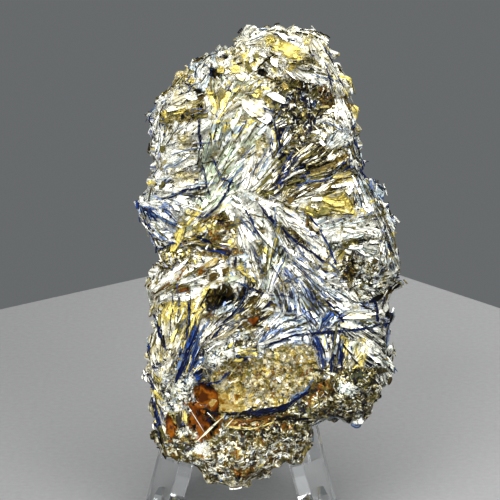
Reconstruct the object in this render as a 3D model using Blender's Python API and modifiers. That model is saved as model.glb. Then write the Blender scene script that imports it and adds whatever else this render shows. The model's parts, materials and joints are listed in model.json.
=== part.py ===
"""A covellite cabinet specimen, leaning back on a clear acrylic easel.

The stone is one solid: a thick slab with a broken outline, grown over with tabular crystals in sheaves.
The easel is one moulded piece: two splayed side plates that carry the stone, a head and a rear strut.

Two frames are used. The stone's own frame has u to the right, v up along its face and w into its depth,
all in millimetres, with the lowest tip of the stone at the origin. The world frame is in metres, with the
table at Z = 0, and the stone's face leans back from it by LEAN.
"""

import math
import random

import bmesh
import bpy
from mathutils import Matrix, Vector, noise
from mathutils.bvhtree import BVHTree
from mathutils.geometry import intersect_point_line

MM = 0.001
SEED = 14

# Driving dimensions of the stone, in millimetres and degrees.
STONE_HEIGHT = 112.0
STONE_WIDTH = 64.0
LEAN = 16.0
TIP_HEIGHT = 10.0
FRONT_DEPTH = 14.0
BACK_DEPTH = 12.0
EDGE_ROUND = 9.0
EDGE_SHARE = 0.5
EDGE_INSET = 2.0
BODY_CELL = 1.9
BODY_TRIANGLES = 1200
CRAG_SIZE, CRAG_HEIGHT = 6.5, 2.0
LEDGE_SIZE, LEDGE_HEIGHT = 8.0, 3.0
SWAY_SIZE, SWAY = 9.0, 0.7
PLATE_HEIGHT = (4.2, 6.0)
PLATE_TURN = 9.0
PLATE_LEAN = 8.0
LARGE_PLATE = 9.5
SLIVER = 0.004
FACE_PITCH = 6.7
RIM_PITCH = 12.0
RIM_ROWS = (-8.0, -1.0, 6.5)
BACK_PITCH = 11.5
REST_GAP = 0.3

# The stone's outline, seen square to its face, anticlockwise from the lowest tip: (u, v).
OUTLINE = [
    (-7.8, 0.0), (-5.0, 0.6), (-1.7, 2.8), (1.4, 5.0), (8.2, 8.0), (10.9, 11.5), (10.9, 15.3),
    (18.2, 17.2), (23.5, 18.3), (26.6, 23.3), (28.9, 29.4), (27.9, 36.2), (28.6, 43.2), (28.5, 47.0),
    (30.7, 50.0), (31.8, 53.8), (30.0, 60.6), (27.3, 67.6), (25.0, 72.8), (22.1, 76.7), (22.3, 82.8),
    (20.4, 90.8), (19.0, 98.0), (15.1, 101.6), (15.5, 104.8), (13.2, 108.2), (8.9, 110.6), (0.6, 111.9),
    (-7.0, 109.5), (-10.8, 106.4), (-16.1, 104.1), (-21.5, 99.2), (-25.3, 95.7), (-27.6, 91.2),
    (-29.8, 85.8), (-29.4, 78.8), (-29.9, 72.5), (-31.8, 67.6), (-29.9, 61.4), (-26.8, 58.0),
    (-28.6, 54.4), (-29.3, 47.7), (-28.7, 41.6), (-30.3, 33.9), (-28.4, 19.5), (-26.5, 9.9),
    (-23.0, 7.3), (-16.2, 4.7), (-10.8, 1.6),
]

# Lumps and pits of the face: (u, v, radius, height). A negative height is a pit.
FACE_RELIEF = {
    "left ear": (-27, 66, 8, 4.0),
    "left shoulder": (-20, 90, 11, 3.0),
    "crown lobe": (9, 105, 8, 3.5),
    "crown left": (-10, 101, 9, 2.0),
    "middle ridge": (0, 62, 14, 3.0),
    "right eye": (24, 56, 8, 3.5),
    "right shoulder": (13, 80, 9, -2.5),
    "left waist": (-20, 58, 6, -3.0),
    "left flank": (-24, 40, 8, 2.5),
    "right foot": (21, 27, 8, 2.5),
    "sugary facet": (-3, 27, 12, -2.0),
    "amber pocket": (-16, 19, 5, -3.5),
    "bottom mass": (-8, 9, 9, 2.0),
    "crown pit": (-1, 100, 3.2, -3.0),
    "rust pit": (14, 93.5, 3.2, -3.2),
    "waist pit": (-11, 45, 3.2, -3.2),
    "eye pit": (19, 52, 3.2, -3.2),
}
# Lumps and hollows of the back, in the same terms.
BACK_RELIEF = {
    "upper hump": (-6, 86, 13, 3.5),
    "upper hollow": (8, 98, 9, -3.0),
    "right hump": (14, 64, 10, 3.0),
    "middle hollow": (-16, 66, 9, -3.0),
    "low hump": (-10, 38, 12, 1.5),
    "low hollow": (14, 30, 9, -3.0),
}

# Sheaves of the face: (u, v, reach, heading, tilt, length, thickness). Heading is the way that a sheaf's
# plates run, anticlockwise from +u, and tilt is the angle at which they stand up from the face.
SHEAVES = {
    "ear blades": (-26, 67, 6, -25, 55, 12, 1.3),
    "ear under": (-25, 61, 4, -22, 100, 9, 1.1),
    "flank top": (-28, 82, 7, 88, 55, 12, 1.1),
    "shoulder plate": (-20, 93, 5, 12, 22, 9, 1.6),
    "shoulder bars": (-19, 82, 6, 35, 50, 9, 1.5),
    "shoulder gold": (-18, 98, 4, -30, 45, 7, 1.3),
    "crown rim": (-12, 104, 6, 118, 65, 7, 1.3),
    "crown plate": (-2, 92, 5, -33, 24, 8, 1.5),
    "crown middle": (2, 103, 6, -14, 50, 8, 1.4),
    "lobe ribs": (11, 105, 5, -52, 60, 8, 1.2),
    "upper right": (15, 97, 5, -24, 55, 9, 1.3),
    "rust blades": (18, 88, 6, -62, 60, 9, 1.3),
    "pale field": (-6, 82, 8, 58, 38, 13, 1.5),
    "pale rise": (-4, 74, 6, 62, 55, 12, 1.3),
    "dark scales": (9, 86, 6, 35, 45, 6, 1.4),
    "brown book": (12, 76, 7, 14, 62, 12, 1.1),
    "olive book": (1, 75, 4, 50, 60, 9, 1.2),
    "gold lens": (13, 68, 5, -10, 38, 9, 1.6),
    "white blades": (18, 63, 6, 12, 34, 13, 1.7),
    "steel blades": (-18, 70, 6, 38, 58, 9, 1.3),
    "middle sheaf": (4, 63, 7, -48, 58, 14, 1.2),
    "waist gold": (-18, 59, 4, 60, 45, 7, 1.4),
    "waist rust": (-8, 58, 5, 10, 45, 6, 1.6),
    "waist white": (-23, 52, 6, 29, 56, 12, 1.6),
    "eye rim": (25, 60, 4, 32, 60, 9, 1.3),
    "dark eye": (22, 54, 5, 80, 50, 6, 1.4),
    "right flank": (30, 62, 5, -66, 60, 11, 1.0),
    "pale fan": (2, 51, 5, 80, 50, 10, 1.3),
    "wood grain": (-3, 44, 6, 42, 45, 10, 1.5),
    "blue sheaf": (11, 48, 7, -52, 58, 14, 1.2),
    "right bars": (23, 42, 7, -5, 54, 11, 1.4),
    "left gold": (-27, 38, 5, 104, 55, 12, 1.3),
    "left blue": (-19, 33, 6, 72, 62, 13, 1.2),
    "inner gold": (-19, 43, 5, 55, 48, 9, 1.5),
    "grey sheaf": (-9, 38, 5, 32, 56, 10, 1.3),
    "blue posts": (13, 32, 5, 95, 60, 9, 1.2),
    "zebra ribs": (26, 31, 5, -38, 66, 8, 1.0),
    "sugary facet": (-2, 27, 7, 40, 25, 3.5, 2.4),
    "low left": (-27, 20, 5, -74, 60, 12, 1.2),
    "amber pocket": (-16, 18, 4, 60, 35, 5, 2.2),
    "seam ledge": (2, 20, 3, 9, 68, 12, 1.4),
    "low right": (20, 22, 6, -8, 40, 5, 2.2),
    "bottom mass": (-6, 9, 9, 20, 40, 4, 2.4),
}

# The easel, in millimetres and degrees, with its middle to the left of the stone's.
EASEL_CENTRE_U = -7.1
SIDE_SHEET = 3.4
HOOK_HALF_SPAN = 14.1
HOOK_LEVEL = 6.3
HOOK_FRONT = -3.8
LIP_DEPTH = 2.2
LIP_HEIGHT = 1.6
SPLAY = 17.0
TOE_OUT = 9.0
FRAME_FRONT = 15.2
FRAME_DEPTH = 5.0
FRAME_TOP = 50.0
FOOT_LENGTH = 6.0
ARCH_SPAN = 11.0
ARCH_RISE = 8.0
UNDER = 4.0
STRUT_SHEET = 3.2
STRUT_FOOT_Y = 62.0
STRUT_TOP_WIDTH = 12.0
STRUT_FOOT_WIDTH = 30.0
STRUT_NOTCH = 9.5
HEAD_HEIGHT = 9.0

STONE_COLOUR = (0.42, 0.44, 0.47, 1.0)
ACRYLIC_COLOUR = (0.93, 0.96, 0.97, 1.0)


def clear_scene():
    for item in list(bpy.data.objects):
        bpy.data.objects.remove(item)


def collection_named(name):
    made = bpy.data.collections.new(name)
    bpy.context.scene.collection.children.link(made)
    return made


def principled(name, colour, metallic, roughness, transmission=0.0):
    material = bpy.data.materials.new(name)
    material.use_nodes = True
    shader = material.node_tree.nodes["Principled BSDF"]
    shader.inputs["Base Color"].default_value = colour
    shader.inputs["Metallic"].default_value = metallic
    shader.inputs["Roughness"].default_value = roughness
    shader.inputs["Transmission Weight"].default_value = transmission
    return material


def mesh_object(name, bm, collection):
    mesh = bpy.data.meshes.new(name)
    bm.to_mesh(mesh)
    bm.free()
    made = bpy.data.objects.new(name, mesh)
    collection.objects.link(made)
    return made


def applied(item, name=None, collection=None):
    """A new mesh object with the item's modifiers, curve settings and place applied; the item is removed."""
    bpy.context.view_layer.update()
    graph = bpy.context.evaluated_depsgraph_get()
    mesh = bpy.data.meshes.new_from_object(item.evaluated_get(graph))
    mesh.transform(item.matrix_world)
    if item.type == "CURVE":
        bm = bmesh.new()
        bm.from_mesh(mesh)
        bmesh.ops.remove_doubles(bm, verts=bm.verts, dist=0.001 * MM)
        bm.to_mesh(mesh)
        bm.free()
    name = name or item.name
    collection = collection or item.users_collection[0]
    bpy.data.objects.remove(item)
    made = bpy.data.objects.new(name, mesh)
    collection.objects.link(made)
    return made


def combined(item, others, operation):
    """The item with the others united to it or cut from it, as one mesh; the others are removed."""
    for other in others:
        modifier = item.modifiers.new(operation.title(), "BOOLEAN")
        modifier.operation = operation
        modifier.object = other
        modifier.solver = "EXACT"
        modifier.use_self = True
    made = applied(item)
    for other in others:
        bpy.data.objects.remove(other)
    return made


def clean(item):
    """Removes the chips, closed hollows and slivers that a union of many plates can leave."""
    bm = bmesh.new()
    bm.from_mesh(item.data)
    unseen = set(bm.verts)
    shells = []
    while unseen:
        shell = {unseen.pop()}
        front = list(shell)
        while front:
            for edge in front.pop().link_edges:
                for vertex in edge.verts:
                    if vertex in unseen:
                        unseen.remove(vertex)
                        shell.add(vertex)
                        front.append(vertex)
        shells.append(shell)
    shells.sort(key=len)
    for shell in shells[:-1]:
        bmesh.ops.delete(bm, geom=list(shell), context="VERTS")
    bmesh.ops.dissolve_degenerate(bm, dist=SLIVER * MM, edges=bm.edges)
    bmesh.ops.triangulate(bm, faces=bm.faces)
    bm.to_mesh(item.data)
    bm.free()


def flat_outline(name, points, thickness, collection):
    """A 2D outline, its points in millimetres, filled and given its thickness about its own plane."""
    curve = bpy.data.curves.new(name, "CURVE")
    curve.dimensions = "2D"
    curve.fill_mode = "BOTH"
    curve.extrude = thickness / 2 * MM
    spline = curve.splines.new("POLY")
    spline.points.add(len(points) - 1)
    for point, (x, y) in zip(spline.points, points):
        point.co = (x * MM, y * MM, 0, 1)
    spline.use_cyclic_u = True
    made = bpy.data.objects.new(name, curve)
    collection.objects.link(made)
    return made


def stone_frame():
    """The stone's own frame in the world: leaned back about its tip, which stands above the table."""
    return Matrix.Translation((0, 0, TIP_HEIGHT * MM)) @ Matrix.Rotation(math.radians(-LEAN), 4, "X")


# ---- the stone, built upright in its own frame and leaned back at the end ----


def outline_sides():
    return [(Vector((*a, 0)), Vector((*b, 0))) for a, b in zip(OUTLINE, OUTLINE[1:] + OUTLINE[:1])]


def rim_distance(u, v):
    """How far a point of the face is from the outline, in millimetres."""
    place = Vector((u, v, 0))
    best = math.inf
    for a, b in outline_sides():
        near, share = intersect_point_line(place, a, b)
        near = a if share < 0 else b if share > 1 else near
        best = min(best, (near - place).length)
    return best


def inside_outline(u, v):
    crossings = 0
    for a, b in outline_sides():
        if (a.y > v) != (b.y > v):
            crossings += u < a.x + (v - a.y) / (b.y - a.y) * (b.x - a.x)
    return crossings % 2 == 1


def relief(features, u, v):
    total = 0.0
    for fu, fv, radius, height in features.values():
        total += height * math.exp(-((u - fu) ** 2 + (v - fv) ** 2) / radius ** 2)
    return total


def crags(place, size, strength):
    """Blocky unevenness: cells of about that size in millimetres, each at its own level."""
    centre = noise.voronoi(place / size)[1][0]
    return strength * (noise.noise(centre * 3.7) - noise.noise(centre * 1.9 + Vector((5, 5, 5))))


def stone_slab(helpers):
    """The outline at full thickness, remeshed so that its faces can be moved."""
    slab = flat_outline("slab", OUTLINE, FRONT_DEPTH + BACK_DEPTH, helpers)
    slab.data.offset = -EDGE_INSET * MM
    slab.rotation_euler = (math.radians(90), 0, 0)
    slab.location.y = (BACK_DEPTH - FRONT_DEPTH) / 2 * MM
    slab = applied(slab)
    remesh = slab.modifiers.new("Remesh", "REMESH")
    remesh.mode = "VOXEL"
    remesh.voxel_size = BODY_CELL * MM
    return applied(slab)


def shape_slab(slab):
    """Rounds the slab's edges and raises the lumps, pits and crags of both sides."""
    for vertex in slab.data.vertices:
        place = vertex.co / MM
        u, w, v = place
        inside = min(rim_distance(u, v) / EDGE_ROUND, 1.0)
        share = EDGE_SHARE + (1 - EDGE_SHARE) * math.sqrt(1 - (1 - inside) ** 2)
        features, depth = (FACE_RELIEF, FRONT_DEPTH) if w < 0 else (BACK_RELIEF, BACK_DEPTH)
        level = min(abs(w) / depth, 1.0)
        raised = depth * share + relief(features, u, v) * inside + crags(place, CRAG_SIZE, CRAG_HEIGHT)
        outward = Vector((u, 0, v - STONE_HEIGHT / 2)).normalized() * (1 - inside)
        ledge = outward * crags(place + Vector((0, 40, 0)), LEDGE_SIZE, LEDGE_HEIGHT)
        sway = noise.noise_vector(place / SWAY_SIZE) * SWAY + ledge
        vertex.co = Vector((u + sway.x, math.copysign(raised * level, w), v + sway.z)) * MM


def thinned(item, triangles):
    """The item brought down to about that many triangles, as broken facets."""
    item.data.calc_loop_triangles()
    decimate = item.modifiers.new("Decimate", "DECIMATE")
    decimate.ratio = min(1.0, triangles / len(item.data.loop_triangles))
    return applied(item)


def add_plate(bm, place, along, out, size, rng):
    """One tabular crystal, six-sided where it is large: size is its length, its height along `out` and its
    thickness."""
    side = along.cross(out).normalized()
    turn = Matrix((along, side.cross(along), side)).transposed().to_4x4()
    sides = 6 if size[0] > LARGE_PLATE else 4
    made = bmesh.ops.create_cone(
        bm, cap_ends=True, segments=sides, radius1=0.5, radius2=0.5 * rng.uniform(0.75, 0.95), depth=1.0
    )
    scale = Matrix.Diagonal((*(Vector(size) * MM), 1))
    bmesh.ops.transform(bm, matrix=Matrix.Translation(place) @ turn @ scale, verts=made["verts"])


def plant(bm, tree, start, inward, along, tilt, size, rng):
    """Grows a plate where the line from `start` along `inward` meets the stone, at that tilt to its face."""
    foot, normal = tree.ray_cast(start, inward)[:2]
    if foot is None:
        return
    along = Matrix.Rotation(math.radians(rng.uniform(-PLATE_TURN, PLATE_TURN)), 3, inward) @ along
    lean = math.radians(tilt - 90 + rng.uniform(-PLATE_LEAN, PLATE_LEAN))
    out = Matrix.Rotation(lean, 3, along) @ (normal - inward * 1.5).normalized()
    length, thickness = size
    length *= rng.uniform(0.8, 1.15)
    thickness *= rng.uniform(0.85, 1.2)
    add_plate(bm, foot, along, out, (length, rng.uniform(*PLATE_HEIGHT), thickness), rng)


def sheaf_at(u, v):
    def spread(sheaf):
        return math.hypot(u - sheaf[0], v - sheaf[1]) / sheaf[2]

    return min(SHEAVES.values(), key=spread)


def grid(pitch, rng):
    """Points of a staggered grid inside the outline, each moved a little."""
    rise = pitch * math.sqrt(3) / 2
    for row in range(int(STONE_HEIGHT / rise) + 1):
        for column in range(int(STONE_WIDTH / pitch) + 2):
            u = -STONE_WIDTH / 2 + (column + 0.5 * (row % 2) + rng.uniform(-0.2, 0.2)) * pitch
            v = (row + 0.4 + rng.uniform(-0.2, 0.2)) * rise
            if inside_outline(u, v) and rim_distance(u, v) > 1.5:
                yield u, v


def face_plates(bm, tree, rng):
    """Plates all over the face in their sheaves, shorter where they come near the edge."""
    for u, v in grid(FACE_PITCH, rng):
        heading, tilt, length, thickness = sheaf_at(u, v)[3:]
        length *= min(1.0, 0.5 + rim_distance(u, v) / 12)
        turn = math.radians(heading)
        along = Vector((math.cos(turn), 0, math.sin(turn)))
        start = Vector((u * MM, -0.1, v * MM))
        plant(bm, tree, start, Vector((0, 1, 0)), along, tilt, (length, thickness), rng)


def rim_plates(bm, tree, rng):
    """Plates round the edge in staggered rows, most of them running along it."""
    travelled = 0.0
    for a, b in outline_sides():
        run = b - a
        outward = Vector((run.y, 0, -run.x)).normalized()
        travelled += run.length
        while travelled > RIM_PITCH / len(RIM_ROWS):
            travelled -= RIM_PITCH / len(RIM_ROWS)
            spot = b - run.normalized() * travelled
            w = RIM_ROWS[rng.randrange(len(RIM_ROWS))] + rng.uniform(-1.5, 1.5)
            start = Vector((spot.x, w, spot.y)) * MM + outward * 0.05
            along = Vector((run.x, 0, run.y)).normalized()
            along = Matrix.Rotation(math.radians(rng.uniform(-30, 30)), 3, outward) @ along
            plant(bm, tree, start, -outward, along, rng.uniform(50, 80), (rng.uniform(6, 9), 1.3), rng)


def back_plates(bm, tree, rng):
    """Plates over the back, running round it in whorls."""
    for u, v in grid(BACK_PITCH, rng):
        swirl = noise.noise(Vector((u / 26, v / 26, 3.0))) * 3.4 + 0.6
        along = Vector((math.cos(swirl), 0, math.sin(swirl)))
        start = Vector((u * MM, 0.1, v * MM))
        plant(bm, tree, start, Vector((0, -1, 0)), along, 50, (rng.uniform(7, 11), 1.5), rng)


def build_stone(collection, helpers):
    rng = random.Random(SEED)
    slab = stone_slab(helpers)
    shape_slab(slab)
    body = thinned(slab, BODY_TRIANGLES)
    tree = BVHTree.FromObject(body, bpy.context.evaluated_depsgraph_get())
    bm = bmesh.new()
    face_plates(bm, tree, rng)
    rim_plates(bm, tree, rng)
    back_plates(bm, tree, rng)
    plates = mesh_object("plates", bm, helpers)
    stone = combined(body, [plates], "UNION")
    stone.matrix_world = stone_frame()
    stone = combined(stone, easel_pieces(helpers, REST_GAP), "DIFFERENCE")
    stone = applied(stone, "covellite", collection)
    clean(stone)
    stone.data.materials.clear()
    stone.data.materials.append(principled("covellite", STONE_COLOUR, 0.8, 0.35))
    return stone


# ---- the easel, built in the world frame. Each piece can be grown, to cut its seat from the stone ----


def upright(w, v):
    """A point of the stone's own depth and height, as (y, z) in the world, in millimetres."""
    place = stone_frame() @ (Vector((0, w, v)) * MM)
    return place.y / MM, place.z / MM


def side_plate(side, helpers, grow):
    """A plate that stands across the stone: foot, ledge, lip and the leg that the stone leans on."""
    ledge = HOOK_LEVEL + grow
    lip_top = ledge + LIP_HEIGHT
    lip_back, lip_front = HOOK_FRONT + grow, HOOK_FRONT - LIP_DEPTH - grow
    leg_front, leg_back = FRAME_FRONT - grow, FRAME_FRONT + FRAME_DEPTH
    toe = upright(lip_front, HOOK_LEVEL)[0] - 1.0
    outline = [
        upright(leg_front, FRAME_TOP), upright(leg_front, ledge), upright(lip_back, ledge),
        upright(lip_back, lip_top - 0.5), upright(lip_back - 0.7, lip_top),
        upright(lip_front, lip_top - 0.5), upright(lip_front, HOOK_LEVEL - 2.5),
        (toe, -UNDER), (toe + FOOT_LENGTH, -UNDER),
    ]
    arch = toe + FOOT_LENGTH + ARCH_SPAN / 2
    for step in range(7):
        turn = math.pi * (1 - step / 6)
        outline.append((arch + ARCH_SPAN / 2 * math.cos(turn), ARCH_RISE * math.sin(turn)))
    heel = arch + ARCH_SPAN / 2
    outline += [(heel, -UNDER), (heel + FOOT_LENGTH, -UNDER)]
    outline += [upright(leg_back, 4.0), upright(leg_back, FRAME_TOP)]
    plate = flat_outline("side_plate", outline, SIDE_SHEET + 2 * grow, helpers)
    hinge = Vector((EASEL_CENTRE_U + side * HOOK_HALF_SPAN, 0, HOOK_LEVEL + TIP_HEIGHT)) * MM
    upend = Matrix(((0, 0, 1, 0), (1, 0, 0, 0), (0, 1, 0, 0), (0, 0, 0, 1)))
    plate.matrix_world = (
        Matrix.Translation(hinge)
        @ Matrix.Rotation(math.radians(-side * TOE_OUT), 4, "Z")
        @ Matrix.Rotation(math.radians(-side * SPLAY), 4, "Y")
        @ Matrix.Translation((0, 0, -hinge.z))
        @ upend
    )
    return applied(plate)


def easel_head(helpers, grow):
    """The block that joins both side plates and the strut at the top."""
    y, z = upright(FRAME_FRONT + FRAME_DEPTH / 2, FRAME_TOP - 0.5 - HEAD_HEIGHT / 2)
    bm = bmesh.new()
    bmesh.ops.create_cube(bm, size=1.0)
    size = Vector((STRUT_TOP_WIDTH + 1.0, FRAME_DEPTH - 0.6, HEAD_HEIGHT)) + Vector((grow, grow, grow)) * 2
    place = Matrix.Translation(Vector((EASEL_CENTRE_U, y, z)) * MM)
    turn = Matrix.Rotation(math.radians(-LEAN), 4, "X")
    scale = Matrix.Diagonal((*(size * MM), 1))
    bmesh.ops.transform(bm, matrix=place @ turn @ scale, verts=bm.verts)
    return mesh_object("easel_head", bm, helpers)


def rear_strut(helpers, grow):
    """The leg behind, one sheet from the head down to the table, notched at its foot."""
    y, z = upright(FRAME_FRONT + FRAME_DEPTH / 2, FRAME_TOP - 2.5)
    run = Vector((0, STRUT_FOOT_Y - y, -UNDER - z))
    top, foot = STRUT_TOP_WIDTH / 2 + grow, STRUT_FOOT_WIDTH / 2 + grow
    length = run.length
    outline = [
        (-top, 0), (-foot, -length), (STRUT_NOTCH - foot, -length), (0, -length * 0.6),
        (foot - STRUT_NOTCH, -length), (foot, -length), (top, 0),
    ]
    strut = flat_outline("rear_strut", outline, STRUT_SHEET + 2 * grow, helpers)
    tilt = math.atan2(run.y, -run.z)
    strut.matrix_world = Matrix.Translation(Vector((EASEL_CENTRE_U, y, z)) * MM) @ Matrix.Rotation(
        tilt + math.radians(90), 4, "X"
    )
    return applied(strut)


def easel_pieces(helpers, grow):
    pieces = [side_plate(side, helpers, grow) for side in (-1, 1)]
    return pieces + [easel_head(helpers, grow), rear_strut(helpers, grow)]


def below_table(helpers):
    bm = bmesh.new()
    bmesh.ops.create_cube(bm, size=0.2)
    bmesh.ops.translate(bm, vec=(0, 0, -0.1), verts=bm.verts)
    return mesh_object("below_table", bm, helpers)


def build_easel(collection, helpers):
    first, *others = easel_pieces(helpers, 0.0)
    easel = combined(first, others, "UNION")
    easel = combined(easel, [below_table(helpers)], "DIFFERENCE")
    easel = applied(easel, "easel", collection)
    edges = easel.modifiers.new("Edges", "BEVEL")
    edges.width = 0.35 * MM
    edges.segments = 1
    edges.limit_method = "ANGLE"
    edges.angle_limit = math.radians(28)
    easel.data.materials.clear()
    easel.data.materials.append(principled("acrylic", ACRYLIC_COLOUR, 0.0, 0.05, 0.9))
    return easel


def centre_on_table(items):
    """Puts the middle of the whole object's footprint at the world origin."""
    bpy.context.view_layer.update()
    graph = bpy.context.evaluated_depsgraph_get()
    points = []
    for item in items:
        mesh = item.evaluated_get(graph).to_mesh()
        points += [item.matrix_world @ vertex.co for vertex in mesh.vertices]
    for axis in (0, 1):
        values = [point[axis] for point in points]
        middle = (min(values) + max(values)) / 2
        for item in items:
            item.location[axis] -= middle


def main():
    clear_scene()
    noise.seed_set(SEED)
    specimen = collection_named("covellite_on_easel")
    helpers = collection_named("helpers")
    stone = build_stone(specimen, helpers)
    easel = build_easel(specimen, helpers)
    centre_on_table([stone, easel])


main()
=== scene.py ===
import json
import math
import random
from functools import partial

import bmesh
import bpy
import numpy as np
from mathutils import Matrix, Vector, noise
from mathutils.bvhtree import BVHTree
from statistics import NormalDist

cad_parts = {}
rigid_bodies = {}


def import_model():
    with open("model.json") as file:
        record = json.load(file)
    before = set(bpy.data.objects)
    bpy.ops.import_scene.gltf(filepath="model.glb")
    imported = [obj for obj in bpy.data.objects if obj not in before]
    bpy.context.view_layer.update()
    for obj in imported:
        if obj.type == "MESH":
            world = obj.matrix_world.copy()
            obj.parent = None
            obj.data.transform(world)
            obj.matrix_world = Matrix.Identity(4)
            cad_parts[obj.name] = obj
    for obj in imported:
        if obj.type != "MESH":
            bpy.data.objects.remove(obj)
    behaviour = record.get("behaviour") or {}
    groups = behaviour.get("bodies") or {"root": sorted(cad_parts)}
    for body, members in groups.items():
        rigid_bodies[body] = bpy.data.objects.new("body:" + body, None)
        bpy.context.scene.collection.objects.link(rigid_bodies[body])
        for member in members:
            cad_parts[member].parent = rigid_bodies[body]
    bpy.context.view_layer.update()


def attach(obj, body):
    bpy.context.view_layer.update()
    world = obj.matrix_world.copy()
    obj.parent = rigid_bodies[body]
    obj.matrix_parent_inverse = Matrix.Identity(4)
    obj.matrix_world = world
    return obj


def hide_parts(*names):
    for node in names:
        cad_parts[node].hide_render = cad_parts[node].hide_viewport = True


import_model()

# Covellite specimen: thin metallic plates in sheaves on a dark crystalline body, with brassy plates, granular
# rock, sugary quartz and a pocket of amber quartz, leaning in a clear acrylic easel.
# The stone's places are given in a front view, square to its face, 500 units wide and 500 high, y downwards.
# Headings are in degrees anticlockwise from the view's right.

mm = 0.001
rng = random.Random(5)
noise.seed_set(5)

# The stone's limits and middle in the front view. Its lean is in degrees, and the other two are in mm.
view = {"left": 140.0, "right": 405.5, "top": 21.7, "tip": 489.5, "centre": 250.0, "middle": 272.0, "size": 500}
stone = {"node": "covellite", "lean": 16.0, "face": 6.0, "merge": 0.001}
easel = {"node": "easel"}


# Small helpers.

def srgb(hexCode):
    channels = [int(hexCode[i:i + 2], 16) / 255 for i in (1, 3, 5)]
    return [c / 12.92 if c <= 0.04045 else ((c + 0.055) / 1.055) ** 2.4 for c in channels]


def deselect():
    if bpy.context.object and bpy.context.object.mode != "OBJECT":
        bpy.ops.object.mode_set(mode="OBJECT")
    bpy.ops.object.select_all(action="DESELECT")


def makeActive(piece):
    deselect()
    piece.select_set(True)
    bpy.context.view_layer.objects.active = piece


def editAll():
    bpy.ops.object.mode_set(mode="EDIT")
    bpy.ops.mesh.select_all(action="SELECT")


def newObject(name, data):
    piece = bpy.data.objects.new(name, data)
    bpy.context.scene.collection.objects.link(piece)
    return piece


def applyModifier(piece, kind, **settings):
    makeActive(piece)
    modifier = piece.modifiers.new(kind.title(), kind)
    for name, value in settings.items():
        setattr(modifier, name, value)
    bpy.ops.object.modifier_apply(modifier=modifier.name)


def fill(tree, node, inputs):
    # An input takes a number, a hex colour, a socket, or a node, which stands for its first output in use.
    for name, value in inputs.items():
        if isinstance(value, bpy.types.Node):
            value = next(socket for socket in value.outputs if not socket.is_unavailable)
        if isinstance(value, bpy.types.NodeSocket):
            tree.links.new(value, node.inputs[name])
        else:
            node.inputs[name].default_value = (*srgb(value), 1.0) if isinstance(value, str) else value


def addNode(tree, kind, inputs=None, **settings):
    node = tree.nodes.new("ShaderNode" + kind)
    for name, value in settings.items():
        setattr(node, name, value)
    fill(tree, node, inputs or {})
    return node


def newMaterial(name):
    # A new material, with the functions that add nodes to it and that set its shader's inputs.
    material = bpy.data.materials.new(name)
    material.use_nodes = True
    tree = material.node_tree
    return material, partial(addNode, tree), partial(fill, tree, tree.nodes["Principled BSDF"])


def setRamp(node, stops):
    ramp = node.color_ramp
    while len(ramp.elements) > 1:
        ramp.elements.remove(ramp.elements[-1])
    for index, (place, code) in enumerate(stops):
        element = ramp.elements[0] if index == 0 else ramp.elements.new(place)
        element.position = place
        element.color = (*srgb(code), 1.0)


# The stone's own frame: x to the right, y into its depth and z up its face.

node = bpy.data.objects[stone["node"]]
lean = Matrix.Rotation(math.radians(stone["lean"]), 3, "X")
upend = lean.inverted()
corners = np.array([lean @ vertex.co for vertex in node.data.vertices])
low, high = corners.min(axis=0), corners.max(axis=0)
faceLevel = low[1] + stone["face"] * mm
unitsPerMetre = (view["tip"] - view["top"]) / (high[2] - low[2])
unitsPerMm = unitsPerMetre * mm
faceOut = upend @ Vector((0, -1, 0))
faceRight = Vector((1, 0, 0))
faceUp = upend @ Vector((0, 0, 1))


def atView(x, y):
    across = (x - view["left"]) / (view["right"] - view["left"])
    up = (view["tip"] - y) / (view["tip"] - view["top"])
    return upend @ Vector((low[0] + across * (high[0] - low[0]), faceLevel, low[2] + up * (high[2] - low[2])))


def toView(point):
    place = lean @ point
    x = view["left"] + (place.x - low[0]) / (high[0] - low[0]) * (view["right"] - view["left"])
    y = view["tip"] - (place.z - low[2]) / (high[2] - low[2]) * (view["tip"] - view["top"])
    return x, y


# Camera, soft studio light and the table.

lens = {"length": 180.0, "sensor": 36.0, "nearer": 0.988, "aimX": 253.5, "aimY": 250.0}


def setCamera():
    camera = newObject("camera", bpy.data.cameras.new("camera"))
    camera.data.lens = lens["length"]
    camera.data.sensor_width = lens["sensor"]
    distance = view["size"] / unitsPerMetre * lens["length"] / lens["sensor"] * lens["nearer"]
    camera.location = atView(lens["aimX"], lens["aimY"]) + faceOut * distance
    camera.rotation_euler = faceOut.to_track_quat("Z", "Y").to_euler()
    bpy.context.scene.camera = camera
    return Vector(camera.location)


eye = setCamera()

lamps = {
    "frontLeft": {"place": (-0.42, -0.85, 0.75), "size": 0.6, "power": 17.2},
    "frontRight": {"place": (0.5, -0.8, 0.5), "size": 0.45, "power": 8.1},
    "above": {"place": (0.05, -0.25, 1.0), "size": 0.7, "power": 11.6},
    "sideLow": {"place": (-0.9, -0.2, 0.25), "size": 0.35, "power": 2.0},
    "behind": {"place": (0.4, 0.9, 0.8), "size": 0.8, "power": 5.5},
}
studio = {"aim": (0, 0, 0.06), "colour": "#A2A6A8", "strength": 0.38}


def setLight():
    for name, lamp in lamps.items():
        light = bpy.data.lights.new(name, "AREA")
        light.shape = "DISK"
        light.size = lamp["size"]
        light.energy = lamp["power"]
        holder = newObject(name, light)
        holder.location = lamp["place"]
        holder.rotation_euler = (Vector(lamp["place"]) - Vector(studio["aim"])).to_track_quat("Z", "Y").to_euler()
        holder.visible_camera = False
    world = bpy.data.worlds.new("studio")
    bpy.context.scene.world = world
    world.use_nodes = True
    fill(world.node_tree, world.node_tree.nodes["Background"],
         {"Color": studio["colour"], "Strength": studio["strength"]})
    bpy.context.scene.view_settings.view_transform = "Standard"
    bpy.context.scene.view_settings.look = "None"


setLight()

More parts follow.
